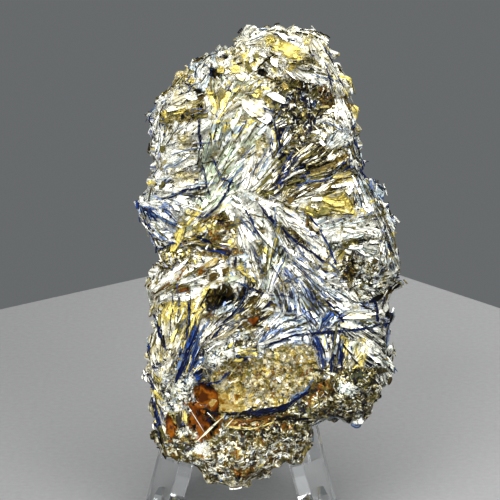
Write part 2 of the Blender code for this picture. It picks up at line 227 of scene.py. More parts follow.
# The table's corner and two points of its edges are in the front view. Its side and thickness are in metres, and
# its bevel is in mm.
table = {"corner": (302.0, 241.0), "edges": ((0.0, 305.0), (500.0, 303.0)), "side": 0.75, "thick": 0.008,
         "bevel": 1.5}


def floorAt(x, y):
    ray = atView(x, y) - eye
    return eye - ray * (eye.z / ray.z)


def tableMaterial():
    # Worn aluminium table top, brushed: pale grey, satin, with fine marks. The marks are drawn about 1.4 mm apart,
    # coarser than real ones, so that they show.
    material, add, finish = newMaterial("brushedTableTop")
    marks = add("TexNoise", {"Vector": add("TexCoord").outputs["Object"], "Scale": 700.0, "Detail": 3.0})
    finish({"Base Color": add("MapRange", {"Value": marks, "To Min": 0.19, "To Max": 0.26}), "Metallic": 0.35,
            "Roughness": 0.5})
    return material


def makeFloor():
    corner = floorAt(*table["corner"])
    ways = [(floorAt(*edge) - corner).normalized() for edge in table["edges"]]
    inward = (ways[0] + ways[1]).normalized()
    middle = corner + inward * table["side"] / math.sqrt(2)
    deselect()
    bpy.ops.mesh.primitive_cube_add(size=1.0, location=(middle.x, middle.y, -table["thick"] / 2),
                                    rotation=(0, 0, math.atan2(inward.y, inward.x) - math.pi / 4),
                                    scale=(table["side"], table["side"], table["thick"]))
    floor = bpy.context.object
    floor.name = "tableTop"
    bpy.ops.object.transform_apply(location=True, rotation=True, scale=True)
    applyModifier(floor, "BEVEL", width=table["bevel"] * mm, segments=3)
    floor.data.materials.append(tableMaterial())


makeFloor()
print("camera, light and floor")


# Colours, and palettes of them with the share of each.

def sharesOf(text):
    return tuple((name, float(share)) for name, share in map(str.split, text.split(", ")))


# White and silver are painted reflection on the covellite leaves: they stand for the sheen of the leaf faces in the
# lamps, not for the leaves' own indigo. Black in the palettes stands mostly for the crevices between the leaves:
# painted shade.
colours = {name: np.array(srgb(code)) for name, code in {
    "white": "#FAFAEC", "silver": "#D5D8CA", "paleGreen": "#CBD3B8", "celadon": "#B6C4A8", "paleBlue": "#BFCDD0",
    "steel": "#8A9490", "cream": "#F2EBC8", "gold": "#E6D26C", "oldGold": "#C2A850", "tan": "#AEA060",
    "bronze": "#857236", "olive": "#524E24", "brown": "#443612", "rust": "#6A4210", "orange": "#A86018",
    "indigo": "#16285A", "blue": "#2A56A6", "deepBlue": "#0A1132", "violet": "#7A7E94", "black": "#060605",
    "slate": "#465C7C", "periwinkle": "#7E92BC", "night": "#04071C", "darkGreen": "#303524", "lemon": "#D6C878",
    "khaki": "#A59C7C", "sand": "#D2C9A4",
}.items()}

palettes = {name: sharesOf(text) for name, text in {
    "white": "white 9.5, silver 3, paleBlue 1, khaki 0.4, black 0.2, indigo 0.2",
    "whiteSpeck": "white 8, cream 2, silver 2, olive 0.8, black 0.7",
    "whiteIndigo": "white 7.6, silver 2.2, paleBlue 0.8, periwinkle 0.5, khaki 1.2, olive 0.8, indigo 0.4, "
                   "deepBlue 0.3",
    "earBlue": "white 6, silver 2, paleBlue 1.6, periwinkle 1.5, khaki 0.4, steel 0.6, indigo 0.3",
    "whiteGold": "white 6.6, cream 2, gold 1.6, khaki 0.8, brown 0.9, black 0.8, indigo 0.2",
    "whiteOlive": "white 15, silver 2.6, khaki 1.1, olive 0.6, bronze 0.3, brown 0.1",
    "whiteRust": "white 8, silver 2, khaki 0.8, bronze 0.8, rust 0.8, brown 0.9, black 0.3",
    "whiteBrown": "white 4.6, cream 1, brown 3, tan 1.5, black 1, indigo 0.3",
    "cream": "cream 4, white 5.4, silver 1, tan 0.7, black 0.6",
    "violetWhite": "white 5.4, silver 1.8, violet 1.6, gold 0.8, slate 0.6, indigo 0.4, black 0.6",
    "paleBlue": "paleBlue 4, white 4.1, silver 2, steel 1, indigo 0.4",
    "paleBlueWhite": "white 5.4, paleBlue 2.2, paleGreen 2.4, gold 0.5, khaki 1, periwinkle 0.6, indigo 0.3",
    "paleBlueIndigo": "white 6.1, paleBlue 2.4, silver 1.2, periwinkle 1.7, slate 0.5, indigo 0.5, olive 0.4",
    "celadon": "celadon 4, paleGreen 3.5, white 3, gold 0.7, paleBlue 1, olive 0.6, indigo 0.2",
    "gold": "gold 2.8, lemon 1.6, cream 2.2, khaki 1.6, tan 1.4, white 1.2, olive 1.6, brown 0.6, black 0.4",
    "goldOlive": "gold 2, lemon 0.8, oldGold 0.8, khaki 1.4, olive 1.9, cream 1.8, white 2, black 0.5",
    "goldWhite": "gold 1.6, white 4.6, paleGreen 1.5, khaki 1.4, tan 0.8, olive 0.8, indigo 0.3",
    "goldIndigo": "gold 1.8, cream 4, white 1.8, tan 1.8, khaki 1, indigo 0.3, deepBlue 0.3",
    "goldIndigoWhite": "cream 2.4, white 2, gold 2, tan 0.8, violet 0.8, indigo 0.6, deepBlue 0.3, black 0.4",
    "oliveGold": "olive 4, gold 2, bronze 2, black 1, rust 0.4",
    "olive": "olive 4, tan 1.5, white 1.2, black 1.5, indigo 0.7",
    "darkOliveIndigo": "white 2, cream 0.8, tan 1.4, steel 0.8, olive 2.2, bronze 1, brown 1, black 3.2, "
                       "deepBlue 1.2, indigo 0.7",
    "brownTan": "white 1.9, tan 0.8, khaki 0.7, bronze 0.8, brown 2.8, black 6.4, olive 1, indigo 0.3",
    "brownOlive": "brown 2.5, olive 2, oldGold 2, white 1.6, black 1.6, rust 0.5",
    "rust": "rust 2.5, black 2.5, brown 2, cream 1.2, orange 0.7",
    "darkGreen": "darkGreen 4, steel 1.5, black 1.5, white 1",
    "blackBrown": "black 4, brown 2, olive 1.2, white 1.2, gold 0.4",
    "black": "black 6, brown 1",
    "blueWhite": "white 6, silver 2.6, paleBlue 1.4, periwinkle 0.6, tan 0.6, slate 0.5, indigo 0.4, deepBlue 0.3",
    "indigoBlack": "deepBlue 3, black 3, indigo 2, white 1",
    "deepIndigo": "blue 1, indigo 2.2, deepBlue 1.4, black 0.8, slate 0.8, periwinkle 0.8, cream 2.4, gold 1.4",
    "brightIndigo": "blue 2.6, indigo 2.4, slate 0.8, periwinkle 2.2, paleBlue 1.4, white 1.6, gold 0.9",
    "indigoGold": "white 2.7, gold 1.8, olive 1.6, slate 1, indigo 0.9, deepBlue 0.5",
    "posts": "white 2.8, periwinkle 1, indigo 2.2, deepBlue 1.2, black 0.9, gold 1.4, paleBlue 0.8, tan 0.8",
    "zebra": "white 6.8, black 3.4, silver 1.5, steel 1",
    "greyWhite": "silver 2.2, white 2.6, cream 1.2, steel 1.6, tan 1.2, black 1.8, brown 1",
    "oliveViolet": "olive 2.4, violet 2, white 2.4, tan 1.4, brown 1",
    "sugar": "lemon 0.5, sand 1.8, white 0.6, oldGold 0.4, khaki 3.2, steel 0.6, bronze 3, olive 2, brown 1.2, "
             "rust 0.4",
    "matrix": "silver 2.8, cream 1.2, white 3, tan 1.4, bronze 1.8, steel 1.4, slate 0.3, olive 1.4, brown 3.6, "
              "rust 1.2, black 1.8",
    "brownGreyWhite": "silver 2, cream 1, white 0.6, tan 1.6, steel 1.2, bronze 1, olive 1.6, brown 2.6, black 4.6",
    "crownMix": "white 7, cream 2, silver 1.6, gold 1.3, khaki 1.4, tan 0.8, olive 1.6, darkGreen 0.7, black 0.6",
    "scaleMix": "white 1.6, cream 0.7, slate 1, tan 1.2, olive 2, brown 1.4, black 6.2, deepBlue 1.8",
    "waistMix": "white 1.8, cream 1.6, tan 2.2, gold 1, olive 1.7, brown 1, black 1.2, violet 0.6",
    "darkBand": "black 4, deepBlue 1.6, darkGreen 2, brown 1.8, tan 1, silver 0.6",
    "rustDark": "brown 3, rust 2, black 3, bronze 1, olive 1",
    "greenDark": "darkGreen 3, black 3, olive 2, tan 1, silver 0.8",
    "chunk": "white 3, silver 3, steel 1, tan 0.5, black 0.5",
    "network": "white 3.8, silver 2.2, paleBlue 0.6, periwinkle 0.6, steel 1, tan 1.2, olive 1.2, black 2.2, "
               "brown 1.6",
    "khakiPool": "khaki 3.4, tan 1.6, sand 1.6, steel 0.8, olive 1.6, white 0.6, lemon 0.6",
    "olivePool": "olive 3, khaki 1.4, darkGreen 1.4, bronze 1.4, lemon 0.7, black 1",
    "brownPool": "brown 3, black 2.6, olive 1.6, tan 1.2, rust 0.7, cream 0.7",
    "creamPool": "cream 4, white 4, sand 2, tan 1, olive 0.5",
    "paleNetwork": "white 5, silver 2.6, paleBlue 1.4, steel 1.2, cream 1, tan 0.8, slate 0.7, deepBlue 0.5, "
                   "black 0.8, brown 0.5",
    "goldPool": "gold 6, lemon 2, cream 1.4, oldGold 1, olive 0.8",
    "whitePool": "white 9, silver 1.6, sand 0.6, olive 0.3",
    "rustPool": "rust 2.4, brown 2, bronze 2, orange 0.8, tan 1, cream 0.5, black 0.6",
    # In the amber pocket black stands for the shadows between the quartz crystals: painted shade.
    "amber": "orange 2, rust 3, brown 3, black 3",
    "rustGrain": "rust 2.5, orange 2, brown 1.6, cream 1.6, black 1.4, tan 1",
    "lemon": "khaki 3, oldGold 1.6, tan 2.4, sand 0.8, bronze 2",
}.items()}

# Sheaves of the face: x, y, reach along and across, heading, plate length in mm, pitch in mm, tilt from the
# face, fan in degrees across the sheaf, palette.
sheaves = {
    "crownLeft": (228, 50, 24, 20, 108, 4.5, 0.95, 62, 40, "white"),
    "crownTop": (262, 34, 18, 12, 30, 3.5, 0.9, 55, 30, "whiteSpeck"),
    "crownBrow": (292, 33, 20, 9, -14, 3.5, 0.9, 55, 20, "whiteSpeck"),
    "crownLobe": (322, 46, 20, 13, -50, 5.0, 0.95, 58, 40, "cream"),
    "goldCap": (280, 45, 14, 7, -8, 4.0, 0.9, 45, 20, "gold"),
    "crownHollow": (262, 62, 20, 12, -20, 3.0, 0.9, 50, 30, "whiteSpeck"),
    "darkNotch": (300, 66, 16, 6, -12, 3.5, 0.8, 60, 10, "goldOlive"),
    "leftGold": (188, 81, 18, 9, -32, 4.0, 0.9, 50, 20, "goldOlive"),
    "leftCream": (186, 101, 18, 9, 12, 5.0, 1.8, 18, 6, "cream"),
    "leftOlive": (184, 115, 18, 6, 5, 3.5, 0.9, 50, 10, "oliveGold"),
    "blueBundle": (208, 80, 16, 8, 72, 5.5, 0.8, 62, 20, "paleBlue"),
    "goldStreaks": (238, 92, 24, 15, 62, 5.0, 0.9, 52, 40, "goldWhite"),
    "creamShelf": (257, 110, 14, 7, -33, 4.5, 1.6, 24, 8, "cream"),
    "leftEdge": (158, 145, 42, 10, 86, 6.5, 0.7, 66, 14, "violetWhite"),
    "leftWhite": (188, 140, 20, 16, 25, 5.0, 1.1, 46, 25, "whiteOlive"),
    "leftRungs": (190, 172, 20, 12, 22, 6.0, 1.0, 52, 12, "whiteIndigo"),
    "leftLevel": (190, 192, 20, 7, 5, 6.0, 0.9, 56, 8, "whiteIndigo"),
    "celadonField": (232, 150, 34, 18, 58, 7.0, 0.95, 46, 22, "celadon"),
    "celadonLow": (226, 190, 20, 12, 50, 5.5, 0.9, 52, 20, "celadon"),
    "ear": (163, 214, 26, 17, -28, 8.5, 0.95, 58, 12, "earBlue"),
    "earUnder": (166, 238, 18, 8, -18, 6.0, 0.9, 62, 10, "earBlue"),
    "waistGold": (196, 226, 12, 12, 35, 4.0, 0.9, 50, 40, "goldWhite"),
    "waistBrown": (222, 230, 24, 14, 15, 3.5, 0.9, 50, 30, "brownOlive"),
    "centreWhite": (256, 230, 24, 12, -52, 5.5, 0.9, 58, 20, "white"),
    "steepWhite": (264, 165, 24, 9, 62, 5.5, 0.9, 58, 16, "white"),
    "indigoColumn": (281, 138, 18, 8, 72, 4.0, 0.8, 60, 20, "indigoGold"),
    "darkScales": (302, 117, 26, 20, 30, 2.8, 0.85, 52, 60, "darkOliveIndigo"),
    "rightBrow": (312, 75, 20, 8, -24, 6.0, 0.95, 56, 16, "white"),
    # rustPit paints a pit rust and black: the rust is its colour, the black painted shade of the hollow.
    "rustPit": (330, 101, 12, 8, 15, 3.0, 0.9, 50, 30, "rust"),
    "rightRim": (348, 100, 32, 11, -62, 4.0, 0.8, 62, 18, "whiteGold"),
    "rightIndigoRim": (361, 162, 26, 7, -64, 5.0, 0.75, 64, 14, "blueWhite"),
    "oliveLines": (276, 180, 18, 12, 48, 5.0, 0.8, 60, 20, "olive"),
    "brownBook": (326, 167, 32, 15, 20, 8.0, 0.85, 64, 16, "brownTan"),
    "whiteUnderBook": (318, 188, 26, 7, 24, 6.0, 0.9, 58, 10, "whiteBrown"),
    "paleRight": (340, 145, 12, 6, 28, 4.0, 0.9, 50, 16, "paleBlue"),
    "goldLens": (332, 203, 18, 7, -10, 6.0, 1.1, 42, 20, "gold"),
    "greenLens": (326, 213, 10, 4, -4, 3.5, 0.9, 46, 10, "oliveGold"),
    "whiteBooks": (350, 225, 30, 11, 8, 8.0, 1.6, 36, 14, "white"),
    "darkLens": (352, 244, 18, 7, 6, 4.0, 0.9, 50, 16, "darkGreen"),
    "hub": (266, 208, 12, 10, 20, 3.5, 0.8, 60, 160, "white"),
    "longSheaf": (300, 238, 44, 13, -46, 9.0, 0.8, 60, 16, "whiteIndigo"),
    "paleFan": (270, 266, 26, 18, 84, 6.5, 0.9, 54, 70, "paleBlueWhite"),
    "goldFleck": (332, 260, 13, 9, 42, 4.0, 0.9, 48, 30, "gold"),
    # eyeDark paints a hollow dark brown and black: the brown is its colour, the black painted shade.
    "eyeDark": (353, 270, 10, 14, 78, 4.0, 0.9, 56, 40, "blackBrown"),
    "rightEdge": (395, 252, 36, 9, -72, 4.5, 0.7, 66, 16, "blueWhite"),
    "rightUpperEdge": (376, 205, 24, 12, -58, 5.0, 0.85, 60, 16, "blueWhite"),
    "rightGrey": (376, 280, 22, 12, -22, 4.5, 0.9, 56, 20, "greyWhite"),
    "waistGrain": (166, 259, 18, 10, 12, 2.5, 0.9, 48, 30, "oliveViolet"),
    "whiteStreaks": (180, 281, 28, 15, 28, 7.5, 1.15, 54, 16, "whiteRust"),
    # blackPit paints the leaves round the centre pit black: painted shade of the hollow.
    "blackPit": (225, 300, 10, 8, 60, 3.0, 1.1, 60, 40, "black"),
    "innerGold": (182, 320, 17, 19, 82, 6.0, 1.2, 40, 24, "gold"),
    "leftGoldEdge": (156, 334, 28, 11, 102, 7.0, 1.2, 46, 12, "goldIndigo"),
    "creamBlades": (176, 350, 16, 7, 74, 6.0, 1.1, 50, 12, "goldIndigo"),
    "indigoBlades": (195, 350, 20, 8, 72, 7.0, 0.75, 64, 14, "deepIndigo"),
    "diagonal": (228, 322, 24, 12, 40, 5.5, 0.85, 58, 16, "whiteIndigo"),
    "speckle": (238, 350, 15, 9, 28, 2.8, 0.85, 54, 50, "indigoGold"),
    "centreLow": (254, 300, 22, 14, 50, 4.0, 0.9, 54, 50, "whiteBrown"),
    "blueFall": (304, 290, 38, 20, -52, 8.0, 0.8, 58, 18, "paleBlueIndigo"),
    "indigoKnot": (327, 320, 13, 9, 58, 4.5, 0.75, 62, 40, "brightIndigo"),
    "creamRungs": (366, 318, 24, 8, -5, 6.0, 1.0, 52, 10, "earBlue"),
    # notch paints the hollow of the notch indigo and black: the indigo is its colour, the black painted shade.
    "notch": (386, 294, 11, 6, -30, 3.5, 0.8, 60, 20, "indigoBlack"),
    "posts": (331, 352, 14, 12, 92, 4.5, 0.9, 62, 20, "posts"),
    "goldGrain": (354, 351, 12, 13, 62, 3.0, 0.85, 50, 40, "goldOlive"),
    "ribs": (379, 352, 28, 13, -38, 5.5, 0.62, 68, 10, "zebra"),
    "blueDiagonal": (285, 326, 22, 10, 34, 5.5, 0.85, 56, 18, "paleBlueIndigo"),
    "leftLowEdge": (157, 400, 44, 9, -78, 7.5, 0.75, 64, 12, "goldIndigoWhite"),
}

# Granular patches: x, y, half width, half height, grain size in mm, palette.
grainPatches = {
    "yellowQuartz": (236, 400, 19, 12, 1.3, "lemon"),
    "amberPocket": (208, 411, 14, 25, 1.6, "amber"),
    "amberLeft": (175, 424, 5, 11, 1.4, "amber"),
    "orangeBands": (262, 422, 26, 5, 0.8, "rustGrain"),
    "whiteChunk": (207, 446, 8, 7, 1.6, "chunk"),
    "lowWhite": (347, 387, 12, 5, 1.2, "chunk"),
    "lowRust": (325, 386, 13, 9, 0.6, "rustDark"),
    "lowGreen": (362, 378, 16, 7, 0.6, "greenDark"),
    "lowBand": (350, 369, 38, 4, 0.6, "darkBand"),
    # The rustPit grains are rust and dark: the dark ones are painted shade of the pit.
    "rustPit": (329, 101, 10, 6, 0.6, "rustDark"),
    "capGold": (278, 45, 13, 5, 1.4, "gold"),
    "capOlive": (286, 54, 16, 5, 1.3, "goldOlive"),
    "crownJumble": (256, 66, 34, 17, 1.5, "crownMix"),
    "scales": (304, 118, 20, 24, 0.6, "scaleMix"),
    "eyeGrit": (360, 274, 22, 15, 0.6, "network"),
    "waistGrit": (180, 258, 30, 8, 0.6, "waistMix"),
    "waistMiddle": (222, 234, 20, 9, 0.7, "waistMix"),
    "goldSwirl": (357, 350, 11, 13, 1.1, "goldWhite"),
    "sugarFacet": (258, 384, 44, 24, 0.64, "sugar"),
    "sugarFacetHigh": (291, 367, 29, 25, 0.64, "sugar"),
    "leftGrit": (184, 388, 17, 22, 0.6, "paleNetwork"),
    "middleGrit": (222, 356, 17, 10, 0.6, "paleNetwork"),
    "diagonalGrit": (245, 340, 14, 7, 0.6, "network"),
    "lowRight": (345, 394, 40, 22, 0.65, "brownGreyWhite"),
    "facetBelow": (285, 420, 50, 18, 0.65, "brownGreyWhite"),
    "bottomMass": (242, 455, 76, 38, 0.7, "matrix"),
}

# Pools of fine gangue between the leaves: x, y, half length, half width and heading, by palette.
pools = {
    "goldPool": ((278, 43, 9, 4, -20), (294, 59, 12, 2.5, -20), (250, 57, 6, 3, 10), (260, 65, 3, 5, 80),
                 (307, 43, 3, 2, 0), (292, 72, 5, 2.5, 0), (230, 86, 4, 3, 0), (246, 91, 6, 3, -40),
                 (261, 97, 3, 7, 10), (274, 106, 5, 2.5, -40), (228, 101, 6, 2.5, 60), (231, 128, 5, 3, 80),
                 (256, 124, 8, 2.5, 0), (181, 82, 6, 2.5, -30), (196, 83, 4, 3, 40), (214, 95, 8, 2.5, -65),
                 (192, 111, 8, 2.5, 15), (171, 117, 4, 3, 70), (262, 94, 5, 2.5, -50), (187, 226, 6, 4, -30),
                 (203, 229, 7, 5, 20), (241, 222, 3, 5, 10), (238, 241, 6, 4, 60), (246, 270, 8, 4, -45),
                 (232, 271, 6, 3, 80), (213, 290, 11, 4, 50), (203, 302, 6, 4, 60), (178, 309, 8, 6, 80),
                 (191, 310, 10, 5, 75), (155, 322, 13, 6, 105), (152, 342, 10, 4, 95), (340, 202, 9, 3, -25),
                 (350, 213, 7, 2.5, -10), (372, 202, 3, 3, 0), (363, 212, 3, 2, 0), (338, 214, 9, 2.5, 0),
                 (327, 262, 6, 4, 60), (340, 259, 5, 3, 80), (157, 184, 3, 3, 0)),
    "whitePool": ((337, 235, 9, 5, -10), (362, 221, 14, 4, -15), (304, 205, 5, 4, 20), (183, 98, 10, 4, 10),
                  (192, 165, 9, 3.5, 20), (205, 140, 4, 9, 0), (178, 160, 6, 3, 20), (172, 178, 7, 3, 15),
                  (192, 126, 6, 3, 0), (207, 446, 7, 6, 0), (214, 116, 4, 9, 0), (181, 146, 5, 3, 20),
                  (176, 278, 12, 3, 28), (268, 214, 6, 3, -40), (241, 284, 7, 3, 10), (185, 190, 12, 3, 10),
                  (352, 305, 9, 2.5, -25), (366, 316, 16, 3, -3), (350, 323, 8, 2.5, -14), (380, 307, 4, 4, 60)),
    "rustPool": ((206, 271, 7, 4, 10), (188, 289, 9, 5, 10), (155, 287, 3, 5, 0), (219, 255, 10, 3, -5),
                 (241, 253, 5, 3, 20), (214, 316, 9, 4, 0), (231, 228, 5, 3, -20), (220, 236, 6, 6, 0),
                 (191, 437, 6, 3, 10), (264, 418, 15, 3, 3), (205, 455, 6, 4, 30), (268, 327, 5, 3, 0),
                 (243, 451, 5, 4, 0), (250, 471, 12, 5, -10), (262, 440, 6, 3, 0), (290, 424, 7, 4, 0),
                 (311, 400, 8, 4, -20), (325, 386, 7, 5, 0)),
    "indigoBlack": ((392, 287, 16, 3.5, 38), (209, 351, 4, 4, 0), (163, 365, 5, 5, 0), (374, 246, 6, 2.5, 10)),
    "creamPool": ((175, 350, 13, 3.5, 70), (164, 312, 7, 4, 60), (238, 484, 10, 6, 10), (186, 96, 13, 5, 12),
                  (196, 154, 5, 3, 30), (184, 170, 12, 3, 22), (186, 187, 14, 3, 10)),
    "khakiPool": ((190, 103, 5, 2, 10), (190, 143, 10, 8, 70), (187, 176, 9, 3, 22), (197, 178, 7, 5, 40),
                  (181, 129, 7, 2, 20), (219, 158, 6, 4, 60), (193, 163, 8, 2.5, 25), (246, 121, 6, 3, 60),
                  (265, 146, 11, 7, 70), (246, 153, 6, 4, 70), (317, 205, 8, 3, 12), (245, 71, 6, 4, 20),
                  (267, 46, 9, 4, 10), (309, 43, 8, 4, 60), (204, 61, 4, 3, 40), (236, 53, 5, 3, 100),
                  (246, 62, 5, 3, 40), (226, 92, 5, 3, 60), (168, 165, 5, 4, 70), (285, 285, 6, 5, 60)),
    "olivePool": ((204, 100, 6, 4, 30), (185, 119, 13, 4, 8), (202, 112, 3, 3, 0), (255, 66, 7, 4, 15),
                  (310, 64, 10, 3, -20), (347, 230, 7, 2.5, 5), (350, 243, 11, 5, 10), (262, 252, 8, 2.5, 70),
                  (264, 274, 10, 4, 78), (264, 229, 8, 2.5, -60), (286, 229, 11, 2.5, -50), (325, 304, 5, 3, -30)),
    "blackBrown": ((346, 269, 5, 3, 60), (349, 287, 5, 2.5, -30), (358, 277, 4, 2, 0)),
    "brownPool": ((281, 84, 12, 3.5, -14), (299, 237, 12, 3, -50), (313, 228, 12, 3, -50), (257, 311, 6, 5, 20),
                  (350, 270, 9, 8, 60), (347, 303, 6, 2.5, -20), (222, 76, 5, 5, 0), (236, 437, 5, 4, 0),
                  (289, 414, 7, 3, 10), (330, 404, 7, 4, 0)),
}

# Seams: thin dark indigo veins, and black and night lines of painted shade in cracks and under ledges, as at the
# facet foot, between the amber crystals, beside the centre pit and in the notch. Each is given as corner points,
# width in mm and colour.
seamsAndShadeLines = {
    "leftSeam": ((204, 124), (206, 146), 0.34, "night"),
    "leftSeamLow": ((206, 160), (210, 178), (213, 194), 0.15, "deepBlue"),
    "crackUpper": ((218, 160), (226, 180), (236, 183), 0.19, "indigo"),
    "crackLower": ((236, 181), (230, 197), (222, 208), (212, 217), 0.25, "deepBlue"),
    "earBand": ((144, 205), (160, 214), (180, 223), 0.52, "slate"),
    "earBandCore": ((146, 207), (162, 216), (180, 224), 0.22, "deepBlue"),
    "earFoot": ((160, 250), (180, 243), 0.28, "indigo"),
    "leftRung": ((172, 199), (194, 191), (207, 188), 0.28, "deepBlue"),
    "waistVein": ((203, 236), (215, 242), 0.28, "deepBlue"),
    "waistVeinTwo": ((208, 248), (229, 253), 0.28, "indigo"),
    "sheafVein": ((262, 206), (276, 222), (296, 240), (325, 262), 0.22, "deepBlue"),
    "sheafVeinUpper": ((311, 216), (322, 232), (336, 262), 0.19, "indigo"),
    "hubVein": ((243, 203), (254, 218), (262, 236), 0.22, "indigo"),
    "fanFoot": ((241, 281), (250, 286), (264, 292), 0.28, "deepBlue"),
    "pitSide": ((216, 288), (207, 304), 0.28, "black"),
    "pitVein": ((250, 285), (244, 305), (228, 322), (216, 338), 0.2, "deepBlue"),
    "longVein": ((270, 345), (296, 334), (330, 331), (360, 328), 0.24, "deepBlue"),
    "longVeinEnd": ((360, 328), (385, 323), (390, 319), 0.2, "deepBlue"),
    "postLeft": ((318, 336), (324, 364), 0.33, "indigo"),
    "postMiddle": ((334, 350), (332, 368), 0.5, "deepBlue"),
    "postRight": ((341, 348), (342, 364), 0.44, "deepBlue"),
    "postDiagonal": ((344, 344), (357, 362), 0.22, "black"),
    "facetFoot": ((228, 411), (246, 412), (258, 411), 0.45, "black"),
    "facetFootWide": ((252, 411), (264, 411), (284, 407), 0.9, "night"),
    "facetFootLow": ((256, 413), (268, 412), (288, 408), 0.5, "black"),
    "facetFootHigh": ((262, 409), (280, 406), (290, 402), 0.6, "night"),
    "facetFootEnd": ((286, 406), (296, 399), (307, 391), 0.7, "night"),
    "facetSide": ((296, 396), (306, 390), (313, 380), 0.33, "slate"),
    "facetTop": ((206, 386), (226, 378), (234, 370), 0.22, "indigo"),
    "footRust": ((236, 419), (256, 419), (276, 414), 0.44, "rust"),
    "footBlack": ((276, 420), (292, 414), (308, 416), 0.55, "black"),
    "footCream": ((232, 425), (256, 427), (280, 420), 0.28, "tan"),
    "leftCore": ((160, 398), (164, 412), (168, 428), 0.4, "deepBlue"),
    "amberGap": ((211, 409), (226, 414), 0.8, "black"),
    "amberGapLow": ((213, 418), (217, 432), 0.9, "black"),
    "leftCoreLow": ((168, 428), (170, 446), 0.44, "black"),
    "bladeCore": ((198, 334), (192, 352), (184, 376), 0.66, "deepBlue"),
    "bladeEdge": ((203, 340), (194, 372), 0.39, "indigo"),
    "notchVein": ((370, 300), (386, 292), (396, 285), 0.7, "black"),
    "notchVeinDrop": ((374, 302), (376, 318), 0.66, "deepBlue"),
    "sheafFoot": ((327, 300), (336, 310), (345, 322), 0.39, "deepBlue"),
    "rimVein": ((352, 120), (356, 142), (364, 168), (372, 184), 0.28, "deepBlue"),
    "columnVein": ((275, 120), (279, 135), (283, 152), 0.24, "deepBlue"),
    "browVein": ((296, 90), (308, 92), (318, 88), 0.33, "black"),
    "crownVein": ((262, 70), (270, 62), (278, 58), 0.33, "black"),
    "wedgeLeft": ((161, 318), (167, 330), (172, 344), 0.42, "deepBlue"),
    "wedgeLeftFoot": ((169, 334), (172, 344), 0.8, "black"),
    "wedgeMiddle": ((195, 301), (195, 318), (193, 336), 0.3, "deepBlue"),
    "wedgeEdge": ((152, 344), (157, 353), 0.4, "deepBlue"),
    "rightVein": ((352, 300), (364, 306), (378, 312), 0.22, "black"),
}

# Large single plates: x, y, heading, length and width in view units, tilt, colour.
singles = {
    "creamPlateLeft": (186, 101, 14, 34, 17, 12, "cream"),
    "creamPlateCentre": (256, 110, -34, 26, 13, 14, "cream"),
    "whiteCap": (277, 64, 20, 13, 11, 10, "white"),
    "goldBlade": (293, 59, -19, 25, 7, 20, "gold"),
    "whiteBlade": (279, 100, -24, 26, 7, 18, "white"),
    "waistBlade": (184, 239, 64, 31, 7, 22, "gold"),
    "whiteLump": (383, 307, 60, 10, 6, 16, "white"),
    "goldTriangle": (240, 73, 40, 13, 9, 20, "gold"),
    "creamTriangle": (244, 80, -30, 15, 9, 16, "cream"),
    "goldLeaf": (259, 96, 78, 15, 8, 24, "gold"),
    "goldArm": (229, 104, 66, 24, 6, 26, "gold"),
    "whiteRung": (172, 196, 4, 24, 6, 30, "white"),
    "paleStep": (226, 74, 30, 12, 8, 20, "gold"),
    "goldBook": (334, 203, -16, 26, 8, 22, "gold"),
    "greenBook": (325, 213, 12, 19, 8, 20, "olive"),
    "paleBookEnd": (350, 187, 70, 16, 7, 16, "silver"),
    "creamRung": (357, 315, 3, 32, 7, 20, "cream"),
    "creamRungLow": (347, 325, -14, 17, 5, 20, "cream"),
    "fringeOne": (205, 57, 128, 13, 5, 20, "silver"),
    "fringeTwo": (211, 53, 124, 14, 5, 24, "white"),
    "fringeThree": (217, 49, 120, 14, 5, 20, "paleBlue"),
    "fringeFour": (223, 46, 118, 15, 6, 16, "white"),
    "fringeFive": (229, 43, 114, 16, 5, 22, "silver"),
    "fringeSix": (235, 40, 112, 16, 6, 18, "white"),
    "fringeSeven": (240, 37, 108, 14, 5, 20, "silver"),
    "fringeEight": (245, 34, 104, 12, 5, 24, "white"),
}

# Quartz crystals of the pocket: x, y, heading, length, width and depth in view units, piece.
crystals = {
    "amberHigh": (212, 394, 68, 24, 17, 9, "amberQuartz"),
    "amberHighSide": (218, 402, 80, 20, 10, 8, "amberQuartz"),
    "amberHighFoot": (210, 405, 30, 17, 12, 8, "amberQuartz"),
    "amberLow": (205, 418, 95, 22, 15, 9, "amberQuartz"),
    "amberLowSide": (200, 414, 60, 14, 8, 7, "amberQuartz"),
    "amberTip": (205, 430, 78, 14, 9, 7, "amberQuartz"),
    "garnetStreak": (190, 288, 20, 7, 5, 4, "amberQuartz"),
    "garnetSmall": (206, 271, 60, 5, 4, 3, "amberQuartz"),
    "garnetCentre": (257, 318, 60, 9, 8, 6, "amberQuartz"),
    "garnetPit": (197, 122, 20, 6, 3, 3, "amberQuartz"),
    "amberStrip": (175, 420, -72, 15, 7, 6, "amberQuartz"),
    "amberStripLow": (178, 431, -80, 13, 6, 5, "amberQuartz"),
    "amberRight": (235, 421, 50, 12, 9, 5, "yellowQuartz"),
    "yellowHigh": (228, 398, 100, 15, 8, 6, "yellowQuartz"),
    "yellowLow": (233, 406, 170, 14, 6, 5, "yellowQuartz"),
    "yellowSide": (240, 396, 70, 9, 6, 4, "yellowQuartz"),
}

# Needles of a late mineral across the pocket, as end points and thickness in mm.
needles = {
    "needleLong": ((229, 413), (201, 440), 0.62, "cream"),
    "needleThin": ((201, 399), (221, 420), 0.17, "silver"),
    "needleSide": ((190, 398), (213, 436), 0.15, "silver"),
    "needleShort": ((238, 416), (229, 426), 0.34, "cream"),
    "needleFacet": ((232, 377), (240, 366), 0.3, "tan"),
}

# Lumps: x, y, size in mm, colour.
lumps = {
    "blueSpot": (212, 215, 0.6, "blue"),
    "blueEye": (276, 142, 0.6, "blue"),
}

